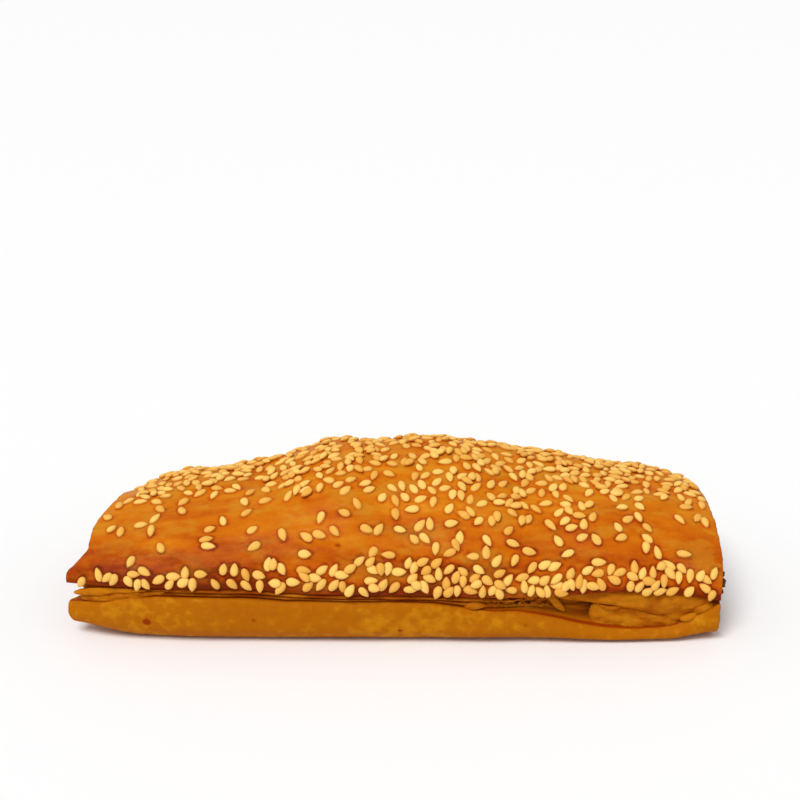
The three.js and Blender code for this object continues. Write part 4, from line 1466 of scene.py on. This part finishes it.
@dataclass
class MeatLog:
    """The spiced meat: a log through the roll whose two ends show."""

    form: RollForm
    rows: int = 12
    end_rows: int = 26
    proud: float = 1.2
    recess: float = 2.0
    rounding: float = 1.6
    columns: int = 161
    gap: float = -0.05
    juice: Relief = Relief((5, 5, 4), 2, 3.0, 2.0)
    juice_range: Range = (-2.0, 1.0)
    juice_share: float = 0.7
    rim_part: float = 0.08
    shrink: float = 0.97
    round_part: float = 0.2
    lump_part: float = 0.15
    lump_height: float = 0.75
    mince: Relief = Relief((2.4, 2.4, 2.4), 2, 21.0, 1.0)
    swells: Relief = Relief((6, 6, 6), 1, 4.0, 0.6)

    def build(self) -> bpy.types.Object:
        """Builds the meat's mesh."""
        steps = np.linspace(0, self.form.steps, self.columns)
        rings = []
        for row in range(self.end_rows, 0, -1):
            rings.append(self._end_ring(1, steps, row / self.end_rows, 1))
        for share in np.linspace(1, 0, self.rows)[1:-1]:
            rings.append(self.form.meat(share, steps, self.gap))
        for row in range(1, self.end_rows + 1):
            rings.append(self._end_ring(0, steps, row / self.end_rows, -1))
        grid = np.array(rings)
        piece = grid_mesh("spiced_meat", grid)
        put_measure(piece, "juice", ramp(*self.juice_range, self.juice.on(grid)) * self.juice_share)
        close_up(piece, FOLD_POINT)
        bpy.ops.object.mode_set(mode="EDIT")
        bpy.ops.mesh.select_all(action="DESELECT")
        bpy.ops.mesh.select_non_manifold()
        bpy.ops.mesh.edge_face_add()
        bpy.ops.mesh.select_all(action="DESELECT")
        bpy.ops.object.mode_set(mode="OBJECT")
        return piece

    def _end_ring(self, share: float, steps: np.ndarray, inward: float, way: float) -> np.ndarray:
        """One ring of an end: the rim where `inward` is near 0, the middle where it is 1."""
        ring = self.form.meat(share, steps, self.gap)
        centre = ring.mean(axis=0)
        scale = 1 - self.shrink * max(0.0, inward - self.rim_part)
        slant = (ring[:, 0] - centre[0]) * scale
        ring[:, 1:] = centre[1:] + (ring[:, 1:] - centre[1:]) * scale
        rounded = self.rounding * (1 - ramp(0, self.round_part, inward))
        ring[:, 0] = centre[0] + slant + (self.proud if way > 0 else self.recess) - way * rounded
        lumps = self.mince.on(ring) + self.swells.on(ring)
        ring[:, 0] += way * self.lump_height * ramp(0.0, self.lump_part, inward) * lumps
        return ring


@dataclass
class BurntJuice:
    """Juice that ran out of the meat at the right end and burnt: a few rough lumps on the cut."""

    lumps: tuple[tuple[float, ...], ...] = (
        (74.2, -27.2, 13.0, 1.5, 1.5, 1.6), (74.5, -25.6, 14.6, 1.4, 1.9, 1.3),
        (74.2, -28.8, 11.4, 1.3, 1.3, 1.0), (74.7, -22.6, 15.6, 1.3, 2.0, 1.3),
        (74.8, -23.6, 12.0, 1.2, 2.2, 1.8))
    crags: Relief = Relief((1.5, 1.5, 1.5), 3, 14.0, 0.7)
    smoothness: int = 4

    def build(self) -> bpy.types.Object:
        """Builds the lumps as one mesh."""
        made = []
        for x, y, z, long, deep, high in self.lumps:
            bpy.ops.object.select_all(action="DESELECT")
            bpy.ops.mesh.primitive_ico_sphere_add(subdivisions=self.smoothness, radius=1.0)
            lump = bpy.context.object
            middle = np.array([x, y, z])
            ball = np.array([vertex.co[:] for vertex in lump.data.vertices])
            points = middle + ball * np.array([long, deep, high])
            points = middle + (points - middle) * (1 + self.crags.on(points))[:, None]
            lump.data.vertices.foreach_set("co", (points * MM).astype(np.float32).ravel())
            put_measure(lump, "juice", np.full(len(points), 1.0))
            bpy.ops.object.shade_smooth()
            made.append(lump)
        return join("burnt_juice", made)


@dataclass
class Studio:
    """The plain floor, the soft lights and the camera."""

    middle_height: float = 17.5
    distance: float = 330
    elevation: float = 25
    pixel_size: float = 0.2275
    near_edge: float = 28
    frame_pixels: float = 800
    middle_row: float = 513.5
    middle_column: float = 394
    sensor: float = 36
    floor_size: float = 8
    floor_cuts: int = 3
    sun_strength: float = 2.0
    sun_width: float = 30
    sun_from: tuple[float, float, float] = (-0.3, -0.44, 0.9)
    surround: float = 0.5
    nearest_seen: float = 0.01
    farthest_seen: float = 20.0

    def floor(self) -> None:
        """Lays a wide pale floor under the roll."""
        bpy.ops.object.select_all(action="DESELECT")
        bpy.ops.mesh.primitive_plane_add(size=self.floor_size, location=(0, 0, 0))
        floor = bpy.context.object
        floor.name = "floor"
        bpy.ops.object.mode_set(mode="EDIT")
        bpy.ops.mesh.subdivide(number_cuts=self.floor_cuts)
        bpy.ops.object.mode_set(mode="OBJECT")
        floor.data.materials.append(PaperFinish().material())

    def lights(self) -> None:
        """Lights the roll softly from above and in front, with a pale surround."""
        sun = bpy.data.lights.new("soft_daylight", "SUN")
        sun.energy, sun.angle = self.sun_strength, math.radians(self.sun_width)
        lamp = bpy.data.objects.new("soft_daylight", sun)
        lamp.rotation_euler = (-Vector(self.sun_from)).to_track_quat("-Z", "Y").to_euler()
        bpy.context.collection.objects.link(lamp)
        world = bpy.data.worlds.new("pale_surround")
        world.use_nodes = True
        background = world.node_tree.nodes["Background"]
        background.inputs["Color"].default_value = (1.0, 1.0, 1.0, 1.0)
        background.inputs["Strength"].default_value = self.surround
        bpy.context.scene.world = world
        bpy.context.scene.view_settings.view_transform = "Standard"

    def camera(self) -> None:
        """Sets the camera where the photograph was taken from."""
        focal = (self.distance - self.near_edge) / self.pixel_size
        half_frame = self.frame_pixels / 2
        angle = math.radians(self.elevation)
        tilt = angle - math.atan((self.middle_row - half_frame) / focal)
        sideways = (half_frame - self.middle_column) * self.pixel_size
        lens = bpy.data.cameras.new("camera")
        lens.sensor_width = self.sensor
        lens.lens = self.sensor * focal / self.frame_pixels
        lens.clip_start, lens.clip_end = self.nearest_seen, self.farthest_seen
        camera = bpy.data.objects.new("camera", lens)
        camera.location = (sideways * MM, -self.distance * math.cos(angle) * MM,
                           (self.middle_height + self.distance * math.sin(angle)) * MM)
        camera.rotation_euler = (math.pi / 2 - tilt, 0, 0)
        bpy.context.collection.objects.link(camera)
        bpy.context.scene.camera = camera


def main() -> None:
    """Builds the roll and its studio."""
    logging.basicConfig(level=logging.INFO, format="%(message)s")
    studio = Studio()
    studio.camera()
    studio.floor()
    studio.lights()
    form = RollForm()
    wrap = PastryWrap(form)
    wrap.lay()
    seeds = SesameSeeds(form, wrap)
    seeds.scatter()
    dress(wrap.build(seeds.beads()), CrustFinish().material(), "pastry")
    dress(PastryLeaves().build(), LeafFinish().material(), "pastry")
    dress(seeds.build(), SeedFinish().material(), "pastry")
    meat = MeatFinish().material()
    dress(MeatLog(form).build(), meat, "filling")
    dress(BurntJuice().build(), meat, "filling")


if __name__ == "__main__":
    main()
